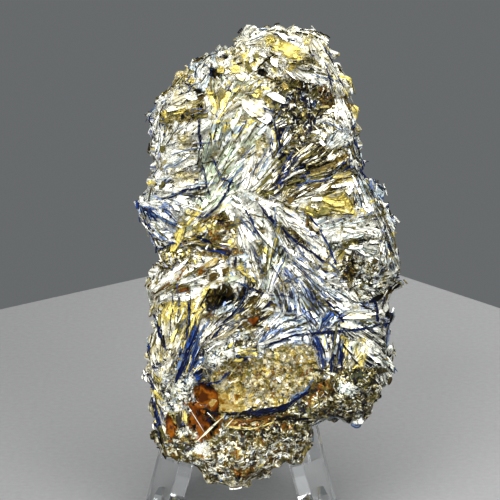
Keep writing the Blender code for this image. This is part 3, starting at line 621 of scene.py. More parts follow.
# Pits: x, y, half width and half height. The body's setting "pit" is their depth, and the body in and round them
# is painted black: painted shade of the hollows.
pits = {
    "notchPit": (388, 312, 4, 6), "lowerPit": (388, 337, 5, 5), "scalePit": (284, 157, 4, 3),
    "centrePit": (224, 299, 6, 4), "crownPitHigh": (228, 58, 4, 3), "crownPit": (219, 75, 5, 5),
    "browPit": (266, 74, 4, 3), "ledgePit": (204, 98, 5, 5), "topPit": (264, 28, 3, 2), "bookPit": (303, 168, 4, 3),
    "pocketPit": (214, 424, 7, 4),
}


# The stone as one merged skin, and a smooth shell of it that gives the broad slope at any place.

shell = {"cell": 2.6, "smooth": 0.6, "passes": 10}


def stoneCopy(name):
    piece = newObject(name, node.data.copy())
    piece.data.materials.clear()
    makeActive(piece)
    editAll()
    bpy.ops.mesh.remove_doubles(threshold=stone["merge"] * mm)
    bpy.ops.object.mode_set(mode="OBJECT")
    return piece


def arraysOf(piece):
    mesh = piece.data
    mesh.calc_loop_triangles()
    points = np.empty(len(mesh.vertices) * 3)
    mesh.vertices.foreach_get("co", points)
    triangles = np.empty(len(mesh.loop_triangles) * 3, np.int64)
    mesh.loop_triangles.foreach_get("vertices", triangles)
    return points.reshape(-1, 3), triangles.reshape(-1, 3)


def treeOf(piece):
    points, triangles = arraysOf(piece)
    return BVHTree.FromPolygons([Vector(p) for p in points], triangles.tolist())


def makeShell():
    piece = stoneCopy("shell")
    solid = treeOf(piece)
    applyModifier(piece, "REMESH", mode="VOXEL", voxel_size=shell["cell"] * mm)
    applyModifier(piece, "SMOOTH", factor=shell["smooth"], iterations=shell["passes"])
    spots = [(face.center.copy(), face.normal.copy()) for face in piece.data.polygons]
    smooth = treeOf(piece)
    bpy.data.objects.remove(piece)
    return solid, smooth, spots


skin, broad, shellSpots = makeShell()
print("shell")


# Which sheaf, patch, pool or pit a place of the front view belongs to.

sheafNames = list(sheaves)
sheafTable = np.array([row[:9] for row in sheaves.values()], float)
warp = {"scale": 0.055, "reach": 7.0}
patchEdge = {"fine": 0.2, "fineReach": 5, "broad": 0.06, "broadReach": 9, "loose": 20, "square": 2.5}
poolEdge = {"scale": 0.25, "reach": 5, "far": 1.5}


def sheafAt(x, y):
    shift = noise.noise_vector(Vector((x * warp["scale"], y * warp["scale"], 3.0))) * warp["reach"]
    heading = np.radians(sheafTable[:, 4])
    right, up = x + shift.x - sheafTable[:, 0], sheafTable[:, 1] - (y + shift.y)
    along = (right * np.cos(heading) + up * np.sin(heading)) / sheafTable[:, 2]
    across = (up * np.cos(heading) - right * np.sin(heading)) / sheafTable[:, 3]
    return sheafNames[int(np.argmin(along ** 2 + across ** 2))]


def patchAt(x, y):
    shift = (noise.noise_vector(Vector((x * patchEdge["fine"], y * patchEdge["fine"], 8.0))) * patchEdge["fineReach"]
             + noise.noise_vector(Vector((x * patchEdge["broad"], y * patchEdge["broad"], 2.0)))
             * patchEdge["broadReach"])
    for name, (centreX, centreY, halfWidth, halfHeight, *_) in grainPatches.items():
        loose = min(1.0, halfHeight / patchEdge["loose"])
        right, down = x + shift.x * loose - centreX, y + shift.y * loose - centreY
        if abs(right / halfWidth) ** patchEdge["square"] + abs(down / halfHeight) ** patchEdge["square"] < 1:
            return name
    return None


def poolAt(x, y):
    shiftX, shiftY = (noise.noise(Vector((x * poolEdge["scale"], y * poolEdge["scale"], key))) * poolEdge["reach"]
                      for key in (4.0, 6.0))
    for palette, rows in pools.items():
        for centreX, centreY, halfLength, halfWidth, heading in rows:
            right, up = x + shiftX - centreX, centreY - (y + shiftY)
            if abs(right) + abs(up) > halfLength * poolEdge["far"]:
                continue
            cos, sin = math.cos(math.radians(heading)), math.sin(math.radians(heading))
            if ((right * cos + up * sin) / halfLength) ** 2 + ((up * cos - right * sin) / halfWidth) ** 2 < 1:
                return palette
    return None


def inPit(x, y, grow=1.0):
    return any(((x - row[0]) / row[2]) ** 2 + ((y - row[1]) / row[3]) ** 2 < grow for row in pits.values())


# Rays start this many metres before the face; nearFace goes inward by a share of the way at each try.
probe = {"before": 0.06, "tries": 12, "inward": 0.012}


def onFace(x, y):
    # The point of the stone there, its normal and the broad slope, or None beside the stone.
    point, normal, _, _ = skin.ray_cast(atView(x, y) + faceOut * probe["before"], -faceOut)
    return None if point is None else (point, normal, broad.find_nearest(point)[1])


def nearFace(x, y):
    for step in range(probe["tries"]):
        hit = onFace(x + (view["middle"] - x) * step * probe["inward"],
                     y + (view["centre"] - y) * step * probe["inward"])
        if hit:
            return hit
    raise ValueError(f"nothing near {x}, {y}")


# Repeated shapes, each modelled once at unit size: x is its length, y its width, z its thickness.

def startShape(primitive, **settings):
    deselect()
    primitive(**settings)
    editAll()
    return bpy.context.object


def startLeaf(sides):
    piece = startShape(bpy.ops.mesh.primitive_cylinder_add, vertices=sides, radius=0.5, depth=1.0,
                       end_fill_type="NGON")
    bpy.ops.transform.rotate(value=math.pi / 2, orient_axis="Z", center_override=(0, 0, 0))
    return piece


def nudge(piece, test, resize=None, move=None):
    # Resizes or moves the corners that pass the test.
    mesh = bmesh.from_edit_mesh(piece.data)
    for vertex in mesh.verts:
        vertex.select = test(vertex.co)
    mesh.select_flush(True)
    mesh.select_flush(False)
    bmesh.update_edit_mesh(piece.data)
    if resize:
        bpy.ops.transform.resize(value=resize, center_override=(0, 0, 0))
    if move:
        bpy.ops.transform.translate(value=move)


def takeShape(piece):
    bpy.ops.mesh.select_all(action="SELECT")
    bpy.ops.mesh.normals_make_consistent(inside=False)
    bpy.ops.object.mode_set(mode="OBJECT")
    points, triangles = arraysOf(piece)
    first, second, third = (points[triangles[:, corner]] for corner in range(3))
    ways = np.cross(second - first, third - first)
    ways /= np.maximum(np.linalg.norm(ways, axis=1, keepdims=True), 1e-9)
    bpy.data.objects.remove(piece)
    return {"points": points, "triangles": triangles, "flat": np.abs(ways[:, 2]) > 0.8}


def roughened(piece, ragged, uniform, seed):
    bpy.ops.mesh.select_all(action="SELECT")
    bpy.ops.transform.vertex_random(offset=ragged, uniform=uniform, seed=seed)
    return takeShape(piece)


def stripShape():
    piece = startLeaf(8)
    nudge(piece, lambda co: 0.3 < abs(co.x) < 0.45, resize=(1.28, 1.15, 1.0))
    nudge(piece, lambda co: abs(co.x) < 0.1 and abs(co.y) > 0.3, resize=(1.0, 0.86, 1.0))
    nudge(piece, lambda co: co.x > 0.3, move=(0.0, 0.08, -0.25))
    nudge(piece, lambda co: co.x < -0.3 and co.y > 0.1, move=(0.1, 0.0, 0.0))
    return takeShape(piece)


def splinterShape():
    piece = startLeaf(4)
    nudge(piece, lambda co: co.x > 0.4, move=(0, 0.1, -0.3))
    nudge(piece, lambda co: abs(co.x) < 0.1 and co.y > 0.3, move=(0.14, 0, 0))
    return takeShape(piece)


def brokenLeaf(sides, seed, ragged):
    # Fuller than an oval, with an uneven edge.
    piece = startLeaf(sides)
    nudge(piece, lambda co: abs(co.x) < 0.42, resize=(1.15, 1.1, 1.0))
    return roughened(piece, ragged, 0.3, seed)


def grainShape(seed):
    return roughened(startShape(bpy.ops.mesh.primitive_ico_sphere_add, subdivisions=1, radius=0.5), 0.22, 0.3, seed)


def shardShape(seed):
    return roughened(startShape(bpy.ops.mesh.primitive_cube_add, size=0.8), 0.26, 0.4, seed)


shapes = {"slab0": brokenLeaf(6, 21, 0.22), "slab1": brokenLeaf(5, 30, 0.2), "strip": stripShape(),
          "leaf0": brokenLeaf(10, 2, 0.1), "leaf1": brokenLeaf(9, 5, 0.12), "leaf2": brokenLeaf(11, 9, 0.13),
          "leaf3": brokenLeaf(7, 12, 0.14), "splinter": splinterShape(), "grain0": grainShape(3),
          "shard0": shardShape(4), "shard1": shardShape(11), "shard2": shardShape(17)}
print("shapes", {name: len(shape["triangles"]) for name, shape in shapes.items()})

shards = ("shard0", "shard1", "shard2")
flakes = ("slab0", "slab1", "strip", "leaf3")
slimLeaves = ("splinter", "leaf1", "leaf3")
longLeaves = ("strip", "slab0", "slab1", "leaf0", "leaf1", "leaf2", "leaf0", "leaf2")

# Which piece a plate of each colour goes to, and what the edges of its plates are tarnished to.
minerals = {
    "silveryPlates": ("white", "silver", "cream"),
    "palePlates": ("paleBlue", "paleGreen", "celadon", "steel"),
    "brassyPlates": ("gold", "oldGold", "tan", "bronze", "lemon", "khaki", "sand"),
    "indigoPlates": ("indigo", "blue", "deepBlue", "violet", "slate", "periwinkle", "night"),
    "darkPlates": ("black", "brown", "olive", "darkGreen", "rust", "orange"),
}
mineralOf = {colour: mineral for mineral, names in minerals.items() for colour in names}
edgePalettes = {name: sharesOf(text) for name, text in {
    "silveryPlates": "silver 3, slate 0.5, khaki 1.4, olive 2, black 1, brown 1.4, white 2.5",
    "palePlates": "white 3, slate 2, steel 2, black 1, olive 1.4",
    "brassyPlates": "gold 2, brown 2.4, olive 2, black 1.2, cream 1.5",
    "indigoPlates": "indigo 2, deepBlue 2, black 1.4, paleBlue 1.4, slate 1.6",
    "darkPlates": "black 3, brown 2, olive 1.5, tan 1, white 0.8",
}.items()}
parts = {name: [] for name in (*minerals, "seamLeaves", "specks", "rockGrains", "sugaryQuartz", "amberQuartz",
                               "yellowQuartz")}


# How colours are drawn: leaves of one crystal share a colour, so it runs in streaks along the sheaf.

flow = {"along": 0.13, "across": 0.42, "key": 5.3, "spread": 0.27, "free": 0.25, "jitter": 0.06,
        "shade": (0.82, 1.08)}

# Dark colours mostly show as thin leaves on edge, so broad leaves leave them out where they are few.
lineColours = ("indigo", "deepBlue", "night", "black", "slate", "violet")
lines = {"calm": 0.62, "gain": 2.5, "more": sharesOf("black 1.6, olive 1.8, deepBlue 0.3, white 2")}


def draw(palette):
    names, shares = zip(*palette)
    return rng.choices(names, shares)[0]


def levelAt(along, across, key, shift=0.0):
    # Places are in mm. The level of a colour is spread evenly from 0 to 1.
    patch = noise.noise(Vector((along * flow["along"] + shift, across * flow["across"], key * flow["key"])))
    return 0.5 + 0.5 * math.erf(patch / flow["spread"] / math.sqrt(2))


def total(palette):
    return sum(share for _, share in palette)


def pickAt(palette, level):
    level = min(0.999, max(0.0, level)) * total(palette)
    for name, share in palette:
        level -= share
        if level < 0:
            return name
    return palette[-1][0]


def drawNear(palette, along, across, key, free=flow["free"]):
    level = levelAt(along, across, key) + rng.gauss(0, flow["jitter"])
    return pickAt(palette, rng.random() if rng.random() < free else level)


def calmOf(palette):
    calm = tuple(entry for entry in palette if entry[0] not in lineColours)
    return calm if total(calm) > lines["calm"] * total(palette) else palette


def linesOf(palette):
    return (*((name, share * lines["gain"] if name in lineColours else share) for name, share in palette),
            *lines["more"])


calmPalettes = {name: calmOf(palette) for name, palette in palettes.items()}
linePalettes = {name: linesOf(palette) for name, palette in palettes.items()}


def shade(name):
    return colours[name] * rng.uniform(*flow["shade"])


# Adding one copy of a shape to a piece, and one plate that lies along the stone.

fit = {"gap": 0.4, "least": 0.35, "slim": 0.45, "stubby": 2.4, "onEdge": 0.62, "pattern": 40}


def addCopy(part, shape, centre, along, out, size, faceColour, edgeColour, blotch=None):
    along = along.normalized()
    out = (out - along * out.dot(along)).normalized()
    offset = (rng.uniform(0, fit["pattern"]), rng.uniform(0, fit["pattern"]))
    parts[part].append((shape, np.array(centre), np.array([along, out.cross(along), out]), np.array(size),
                        faceColour, edgeColour, faceColour if blotch is None else blotch, offset))


def fitLength(centre, along, length):
    # A plate is as long as the stone's curve carries it, so that no end stands far off.
    share = 1.0
    for side in (-0.5, 0.5):
        gap = skin.find_nearest(centre + along * length * side)[3] / mm
        if gap > fit["gap"]:
            share = min(share, max(fit["least"], math.sqrt(fit["gap"] / gap)))
    return length * share


def addPlate(centre, heading, out, tilt, size, colour, blotch=None, part=None, shape=None):
    heading = (heading - out * heading.dot(out)).normalized()
    angle = math.radians(tilt)
    plateOut = out * math.cos(angle) + out.cross(heading) * math.sin(angle)
    mineral = mineralOf[colour]
    length, width, thick = size
    slim = width < fit["slim"] * mm
    if colour in lineColours and part is None:
        width *= fit["onEdge"]
    stubby = length < fit["stubby"] * width
    shape = shape or rng.choice(slimLeaves if slim else flakes if stubby else longLeaves)
    addCopy(part or mineral, shape, centre, heading, plateOut, (fitLength(centre, heading, length), width, thick),
            shade(colour), shade(draw(edgePalettes[mineral])), shade(blotch or colour))


# The rim and the back: seeds spread over the shell, each with its own sheaf.

back = {"count": 120, "reach": 11.0, "length": (4.5, 9.0), "pitch": (0.85, 1.25), "tilt": (48, 64),
        "facing": 0.3, "rimFacing": -0.25, "overlap": 0.1, "turn": 0.7, "view": 0.45, "sparse": 0.8,
        "above": 12.0, "depth": 30.0, "edge": 180, "edgeReach": 2.5,
        "palettes": ("white", "whiteIndigo", "celadon", "goldWhite", "blueWhite", "brownTan", "greyWhite",
                     "paleBlueIndigo", "indigoGold", "matrix", "matrix", "matrix", "brownGreyWhite",
                     "brownGreyWhite", "network", "khakiPool", "oliveGold", "whiteBrown", "goldIndigoWhite")}


def spreadSeeds():
    spots = [spot for spot in shellSpots if spot[1].dot(faceOut) < back["facing"] + back["overlap"]]
    places = np.array([spot[0] for spot in spots])
    chosen = [0]
    distance = np.linalg.norm(places - places[0], axis=1)
    for _ in range(back["count"] - 1):
        chosen.append(int(distance.argmax()))
        distance = np.minimum(distance, np.linalg.norm(places - places[chosen[-1]], axis=1))
    found = []
    for centre, out in (spots[index] for index in chosen):
        upward = (faceUp - out * faceUp.dot(out)).normalized()
        heading = Matrix.Rotation(rng.gauss(0, back["turn"]), 3, out) @ upward
        palette = rng.choice(back["palettes"])
        if out.dot(faceOut) > back["rimFacing"]:
            x, y = toView(centre)
            patch = patchAt(x, y)
            palette = grainPatches[patch][5] if patch else sheaves[sheafAt(x, y)][9]
        found.append({"centre": centre, "out": out, "heading": heading, "palette": palette,
                      "length": rng.uniform(*back["length"]), "pitch": rng.uniform(*back["pitch"]),
                      "tilt": rng.uniform(*back["tilt"])})
    return found


seeds = spreadSeeds()
seedPlaces = np.array([seed["centre"] for seed in seeds])


def seedAt(point):
    shifted = point + noise.noise_vector(point * back["edge"]) * back["edgeReach"] * mm
    return int(((seedPlaces - np.array(shifted)) ** 2).sum(axis=1).argmin())


# The body of the stone: packed leaves broken across, as ridges along each sheaf, with grit in the granular places.
# Lengths are in mm.
# The smoothness of a palette is how much of the dark seams, and of the painted shade along the cracks, it keeps.

body = {"cell": 0.55, "ridge": 0.42, "ridgeAlong": 0.14, "ridgeAcross": 0.75, "ridgeKey": 3.1, "bump": 0.16,
        "bumpScale": 1100, "grit": 0.32, "gritScale": 620, "gritFine": 1400, "pit": 1.1, "pitEdge": 1.3, "dim": 0.93,
        "brightness": (0.21, 0.72, 0.07), "pale": 0.42, "dark": 0.09, "spread": 0.065, "darker": 0.035,
        "duller": 0.045, "levels": (0.04, 0.96), "tintShift": 17.0, "grainKey": 7.3, "fan": (2.0, 16.0),
        "wander": 1.8, "wanderScale": 130, "facing": 0.18, "round": 40, "patchAlong": 6.4, "patchUp": 1.05}
smoothness = dict(sharesOf(
    "sugar 0.3, lemon 0.1, amber 0.1, whiteOlive 0.35, cream 0.4, celadon 0.5, whiteSpeck 0.6, goldWhite 0.5, "
    "goldOlive 0.5, gold 0.5, goldIndigo 0.5, crownMix 0.6, violetWhite 0.6, white 0.6, whiteIndigo 0.75, "
    "whiteRust 0.45, earBlue 0.7, network 0.6, paleNetwork 0.5, matrix 0.7, whiteGold 0.6, khakiPool 0.35, "
    "olivePool 0.5, paleBlue 0.6, goldPool 0.4, whitePool 0.4, rustPool 0.5"))
granular = ("matrix", "brownGreyWhite", "sugar", "greyWhite", "rustGrain", "amber", "lemon", "crownMix", "scaleMix",
            "waistMix", "darkBand", "rustDark", "greenDark", "chunk", "network", "paleNetwork", *pools)

# The left notch is cut deeper than in the plain solid: its place and size in the view, and how far it goes in.
notch = {"x": 139.0, "y": 303.0, "wide": 30.0, "high": 20.0, "deep": 13.0}


def notchAt(point):
    x, y = toView(point)
    off = ((x - notch["x"]) / notch["wide"]) ** 2 + ((y - notch["y"]) / notch["high"]) ** 2
    return faceRight * (notch["deep"] / unitsPerMetre * max(0.0, 1.0 - off) ** 2)


def gritPlace(point):
    # Patches of granular rock are about as long as wide.
    return point.x / mm * body["patchAlong"], point.z / mm * body["patchUp"]


def flowAt(point, slope):
    # Place along and across the sheaf in mm, a key for the sheaf, its palette, and how far it is in a pit.
    pit = 0.0
    if slope.dot(faceOut) > body["facing"]:
        x, y = toView(point)
        patch, name = patchAt(x, y), sheafAt(x, y)
        x0, y0, _, spread, heading, _, _, _, fan, palette = sheaves[name]
        palette = poolAt(x, y) or (grainPatches[patch][5] if patch else palette)
        leastFan, mostFan = body["fan"]
        angle, radius = math.radians(heading), spread / math.radians(max(leastFan, min(fan, mostFan)))
        right, up = x - x0, y0 - y
        forward = right * math.cos(angle) + up * math.sin(angle) + radius
        aside = up * math.cos(angle) - right * math.sin(angle)
        key = sheafNames.index(name)
        along = (math.hypot(forward, aside) - radius) / unitsPerMm
        across = math.atan2(aside, forward) * radius / unitsPerMm
        # In and round a pit the body is pushed in and painted black: painted shade of the hollow.
        if inPit(x, y, body["pitEdge"]):
            palette, pit = "black", 1.0
    else:
        key = seedAt(point)
        seed = seeds[key]
        palette = seed["palette"]
        along, across = point.dot(seed["heading"]) / mm, point.dot(seed["out"].cross(seed["heading"])) / mm
    across += noise.noise(point * body["wanderScale"]) * body["wander"]
    if palette in granular:
        along, across = gritPlace(point)
    return along, across, key, palette, pit


def bandsOf(palette):
    # Its pale, middling and dark colours, and the noise levels at which the dark and the middling ones end.
    bands = {"pale": [], "middling": [], "dark": []}
    for name, share in palette:
        bright = float(colours[name] @ body["brightness"])
        band = "pale" if bright > body["pale"] else "middling" if bright > body["dark"] else "dark"
        bands[band].append((name, share))
    shares = [total(bands[band]) for band in bands]
    dark, middling = shares[2] / sum(shares), shares[1] / sum(shares)
    dark, middling = dark + body["darker"] * (1 - dark), middling + body["duller"] * (1 - middling - dark)
    least, most = body["levels"]
    limits = [0.5 + body["spread"] * NormalDist().inv_cdf(min(most, max(least, level)))
              for level in (dark, dark + middling)]
    bands["middling"] = bands["middling"] or bands["pale"] or bands["dark"]
    bands["pale"] = bands["pale"] or bands["middling"]
    bands["dark"] = bands["dark"] or sharesOf("olive 1, black 1")
    return bands, limits


bandTable = {name: bandsOf(palette) for name, palette in palettes.items()}


def blotchOf(palette):
    return draw(bandTable[palette][0]["middling"] if rng.random() < 0.5 else calmPalettes[palette])


def riseAt(point, along, across, key, palette):
    # How far the body stands out there in mm: grit in granular rock, and ridges of leaves elsewhere.
    if palette in granular:
        return (noise.noise(point * body["gritScale"]) * body["grit"]
                + noise.noise(point * body["gritFine"]) * body["grit"] * 0.5)
    ridge = noise.noise(Vector((along * body["ridgeAlong"], across * body["ridgeAcross"], key * body["ridgeKey"])))
    return ridge * body["ridge"] + noise.noise(point * body["bumpScale"]) * body["bump"]


def makeBody():
    piece = stoneCopy("stoneBody")
    applyModifier(piece, "REMESH", mode="VOXEL", voxel_size=body["cell"] * mm)
    mesh = piece.data
    count = len(mesh.vertices)
    tints = {name: np.ones((count, 4)) for name in ("pale", "middling", "dark")}
    grain, limits = np.zeros((count, 3)), np.zeros((count, 3))
    moves = []
    for index, vertex in enumerate(mesh.vertices):
        point = vertex.co.copy()
        along, across, key, palette, pit = flowAt(point, broad.find_nearest(point)[1])
        grain[index] = (along, across, key * body["grainKey"])
        rise = riseAt(point, along, across, key, palette) - pit * body["pit"]
        moves.append(vertex.normal * rise * mm + notchAt(point))
        bands, levels = bandTable[palette]
        limits[index] = (*levels, smoothness.get(palette, 1.0))
        # A pale, a middling and a dark tint for each place. The dark one is partly painted shade of the gaps between
        # leaves, and the white in the pale one is partly painted reflection.
        for shift, name in enumerate(tints):
            level = levelAt(along, across, key, shift * body["tintShift"])
            tints[name][index, :3] = colours[pickAt(bands[name], level)] * body["dim"]
    for vertex, move in zip(mesh.vertices, moves):
        vertex.co += move
    for name, values in tints.items():
        mesh.color_attributes.new(name, "FLOAT_COLOR", "POINT").data.foreach_set("color", values.ravel())
    for name, values in (("grain", grain), ("limits", limits)):
        mesh.attributes.new(name, "FLOAT_VECTOR", "POINT").data.foreach_set("vector", values.ravel())
    mesh.materials.append(bodyMaterial())
    makeActive(piece)
    bpy.ops.object.shade_smooth_by_angle(angle=math.radians(body["round"]))
    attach(piece, "root")
    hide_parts("covellite")
    print("stoneBody", len(mesh.polygons), "faces")
    return treeOf(piece)


def lineMask(add, pattern, outer, inner, most):
    # Thin lines where the pattern passes its middle.
    offset = add("Math", {0: pattern, 1: 0.5}, operation="SUBTRACT")
    near = add("Math", {0: offset}, operation="ABSOLUTE")
    return add("MapRange", {"Value": near, "From Min": outer, "From Max": inner, "To Min": 0.0, "To Max": most})


def crackMask(add, solid, most):
    # A mask of ragged hairline breaks between the clusters of leaves, about 3 mm apart. The near-black painted along
    # it is painted shade in the breaks.
    breaks = add("TexNoise", {"Vector": solid, "Scale": 300.0, "Detail": 4.0, "Roughness": 0.65, "Distortion": 0.4})
    return lineMask(add, breaks, 0.016, 0.007, most)


def bodyMaterial():
    # Packed covellite leaves broken across: pale leaves in ragged streaks, darker ones and dark gaps between them,
    # and hairline dark blue seams. The dark band is partly the leaves' own dark colours and partly painted shade of
    # the gaps between them, and the white of the pale band is partly painted reflection of their sheen. Single leaves
    # are too fine to show, so the streaks are drawn coarser: the clusters are about 8 mm long and 1.2 mm across, and
    # the leaves in them 1.4 mm and 0.3 mm.
    material, add, finish = newMaterial("brokenCovelliteRock")
    tints = {name: add("Attribute", attribute_name=name) for name in ("pale", "middling", "dark")}
    place = add("Attribute", attribute_name="grain").outputs["Vector"]
    limit = add("SeparateXYZ", {"Vector": add("Attribute", attribute_name="limits").outputs["Vector"]})
    solid = add("TexCoord").outputs["Object"]
    stretch = add("Mapping", {"Vector": place, "Scale": (0.12, 0.85, 1.0)})
    leaves = add("TexNoise", {"Vector": stretch, "Scale": 1.0, "Detail": 6.0, "Roughness": 0.7, "Distortion": 0.3})
    colour = tints["dark"]
    for axis, name in (("X", "middling"), ("Y", "pale")):
        above = add("Math", {0: leaves, 1: limit.outputs[axis]}, operation="SUBTRACT")
        mask = add("MapRange", {"Value": above, "From Min": -0.008, "From Max": 0.008})
        colour = add("Mix", {"Factor": mask, "A": colour, "B": tints[name]}, data_type="RGBA")
    cloud = add("TexNoise", {"Vector": solid, "Scale": 900.0, "Detail": 3.0, "Roughness": 0.7})
    share = add("MapRange", {"Value": cloud, "From Min": 0.56, "From Max": 0.62, "To Min": 0.0, "To Max": 0.6})
    mottled = add("Mix", {"Factor": share, "A": colour, "B": tints["middling"]}, data_type="RGBA")
    fine = add("Mapping", {"Vector": place, "Scale": (0.7, 3.2, 1.0)})
    streaks = add("TexNoise", {"Vector": fine, "Scale": 1.0, "Detail": 3.0, "Roughness": 0.6})
    # The streak gain makes strips of leaf lighter and darker: painted shading of the single leaves.
    gain = add("MapRange", {"Value": streaks, "From Min": 0.38, "From Max": 0.58, "To Min": 0.52, "To Max": 1.15})
    paintedLeafShading = add("VectorMath", {0: mottled, 1: gain}, operation="MULTIPLY")
    long = add("Mapping", {"Vector": place, "Scale": (0.05, 0.55, 1.0), "Location": (5.0, 9.0, 4.0)})
    line = lineMask(add, add("TexNoise", {"Vector": long, "Scale": 1.0, "Detail": 2.0}), 0.03, 0.015, 0.95)
    colour = paintedLeafShading
    # The dark blue lines are seams in the stone's own colour. The near-black along the cracks is painted shade in the
    # breaks.
    for mask, code in ((line, "#121420"), (crackMask(add, solid, 0.95), "#14110A")):
        share = add("Math", {0: mask, 1: limit.outputs["Z"]}, operation="MULTIPLY")
        colour = add("Mix", {"Factor": share, "A": colour, "B": code}, data_type="RGBA")
    height = add("Math", {0: leaves, 1: line}, operation="SUBTRACT")
    finish({"Base Color": colour, "Metallic": 0.3, "Specular IOR Level": 0.06,
            "Roughness": add("MapRange", {"Value": leaves, "To Min": 0.6, "To Max": 0.3}),
            "Normal": add("Bump", {"Height": height, "Strength": 0.7, "Distance": 0.5 * mm})})
    return material


skin = makeBody()
print("body")


# The plates of the face: each sheaf lays rows across its own heading, and slivers between them.

laying = {
    "broad": {"length": 1.0, "pitch": 1.45, "share": 0.25, "widths": (1.0, 1.9), "thick": (0.16, 0.36),
              "lift": 0.08, "palettes": calmPalettes},
    "main": {"length": 0.75, "pitch": 0.95, "share": 0.25, "widths": (0.5, 1.0), "thick": (0.14, 0.26),
             "lift": 0.18, "palettes": palettes},
    "slivers": {"length": 0.9, "pitch": 0.8, "share": 0.3, "widths": (0.2, 0.34), "thick": (0.14, 0.24),
                "lift": 0.3, "palettes": linePalettes},
}
rowing = {"step": 0.6, "cover": 2.1, "stagger": 0.5, "along": 0.3, "across": 0.25, "lengths": (0.6, 1.35)}
turn = {"heading": 5.0, "tilt": 6.0, "facing": 0.2, "local": 0.6, "lower": 0.3, "short": 8.0, "steady": 4.4,
        "fan": 1.5}


def faceHeading(degrees):
    angle = math.radians(degrees)
    return faceRight * math.cos(angle) + faceUp * math.sin(angle)


def inSheaf(name, along, across):
    x, y, _, _, heading = sheaves[name][:5]
    angle = math.radians(heading)
    return (x + along * math.cos(angle) - across * math.sin(angle),
            y - along * math.sin(angle) - across * math.cos(angle))


def isBroken(x, y):
    return patchAt(x, y) or poolAt(x, y) or inPit(x, y)


def unevenRows(rows, columns, stagger=0.0):
    # Places along and across, counted in steps, each a little off its row.
    for row in range(-rows, rows + 1):
        for column in range(-columns, columns + 1):
            yield (column + stagger * (row % 2) + rng.uniform(-rowing["along"], rowing["along"]),
                   row + rng.uniform(-rowing["across"], rowing["across"]))


def layLeaf(point, heading, out, length, pitch, tilt, how, palette, place):
    lift = rng.uniform(-how["lift"], how["lift"]) * mm
    leanOver = tilt * turn["lower"] + rng.gauss(0, turn["tilt"])
    size = (length * how["length"] * rng.uniform(*rowing["lengths"]) * mm, pitch * rng.uniform(*how["widths"]) * mm,
            rng.uniform(*how["thick"]) * mm)
    addPlate(point + out * lift, heading, out, leanOver, size, drawNear(how["palettes"][palette], *place),
             blotchOf(palette))


def layFace(name, how):
    x0, _, reach, spread, heading, length, pitch, tilt, fan, palette = sheaves[name]
    stepAlong = length * rowing["step"] * how["length"] * unitsPerMm
    stepAcross = pitch * how["pitch"] * unitsPerMm
    for column, row in unevenRows(int(rowing["cover"] * spread / stepAcross),
                                  int(rowing["cover"] * reach / stepAlong), rowing["stagger"]):
        along, across = column * stepAlong, row * stepAcross
        x, y = inSheaf(name, along, across)
        if rng.random() > how["share"] or sheafAt(x, y) != name or isBroken(x, y):
            continue
        hit = onFace(x, y)
        if hit is None or hit[2].dot(faceOut) < turn["facing"]:
            continue
        point, normal, slope = hit
        out = slope.lerp(normal, turn["local"]).normalized()
        loose = turn["heading"] + max(0.0, turn["steady"] - length) * turn["short"]
        way = heading + fan * max(-turn["fan"], min(turn["fan"], across / spread)) + rng.gauss(0, loose)
        layLeaf(point, faceHeading(way), out, length, pitch, tilt, how, palette,
                (along / unitsPerMm, across / unitsPerMm, x0))


for name in sheaves:
    for how in laying.values():
        layFace(name, how)
print("face plates", {name: len(rows) for name, rows in parts.items()})


# The plates of the rim and the back: each seed lays its own sheaf.

def layBack(index, how):
    seed = seeds[index]
    out, along = seed["out"], seed["heading"]
    across = out.cross(along)
    stepAlong = seed["length"] * rowing["step"] * how["length"] * mm
    stepAcross = seed["pitch"] * how["pitch"] * mm
    for column, row in unevenRows(int(back["reach"] * mm / stepAcross), int(back["reach"] * mm / stepAlong)):
        shift = along * column * stepAlong + across * row * stepAcross
        point, normal, _, _ = skin.ray_cast(seed["centre"] + shift + out * back["above"] * mm, -out,
                                            back["depth"] * mm)
        if point is None or rng.random() > how["share"] * back["sparse"] or seedAt(point) != index:
            continue
        slope = broad.find_nearest(point)[1]
        if slope.dot(faceOut) >= back["facing"] or slope.dot(out) < back["view"]:
            continue
        surface = slope.lerp(normal, turn["local"]).normalized()
        heading = Matrix.Rotation(math.radians(rng.gauss(0, turn["heading"])), 3, surface) @ along
        layLeaf(point, heading, surface, seed["length"], seed["pitch"], seed["tilt"], how, seed["palette"],
                (shift.dot(along) / mm, shift.dot(across) / mm, index))


for index in range(len(seeds)):
    for how in laying.values():
        layBack(index, how)
print("rim and back plates", {name: len(rows) for name, rows in parts.items()})


# Granular rock: grains, and in some patches flakes or a web of slivers.

grains = {"whole": (0.6, 0.8, 0.9, 1.0, 1.1, 1.5), "sides": (0.45, 0.7, 1.0, 1.4), "dark": 0.35, "shortest": 0.2}
grainParts = {"sugar": "sugaryQuartz", "amber": "amberQuartz", "lemon": "yellowQuartz"}


def randomWay():
    while True:
        way = Vector([rng.uniform(-1, 1) for _ in range(3)])
        if grains["shortest"] < way.length < 1:
            return way.normalized()


def addGrain(part, point, size, colour):
    whole = size * rng.choice(grains["whole"])
    stretch = [whole * rng.choice(grains["sides"]) * mm for _ in range(3)]
    addCopy(part, rng.choice(("grain0", *shards)), point, randomWay(), randomWay(), stretch, shade(colour),
            shade(draw(edgePalettes["darkPlates"]) if rng.random() < grains["dark"] else colour))


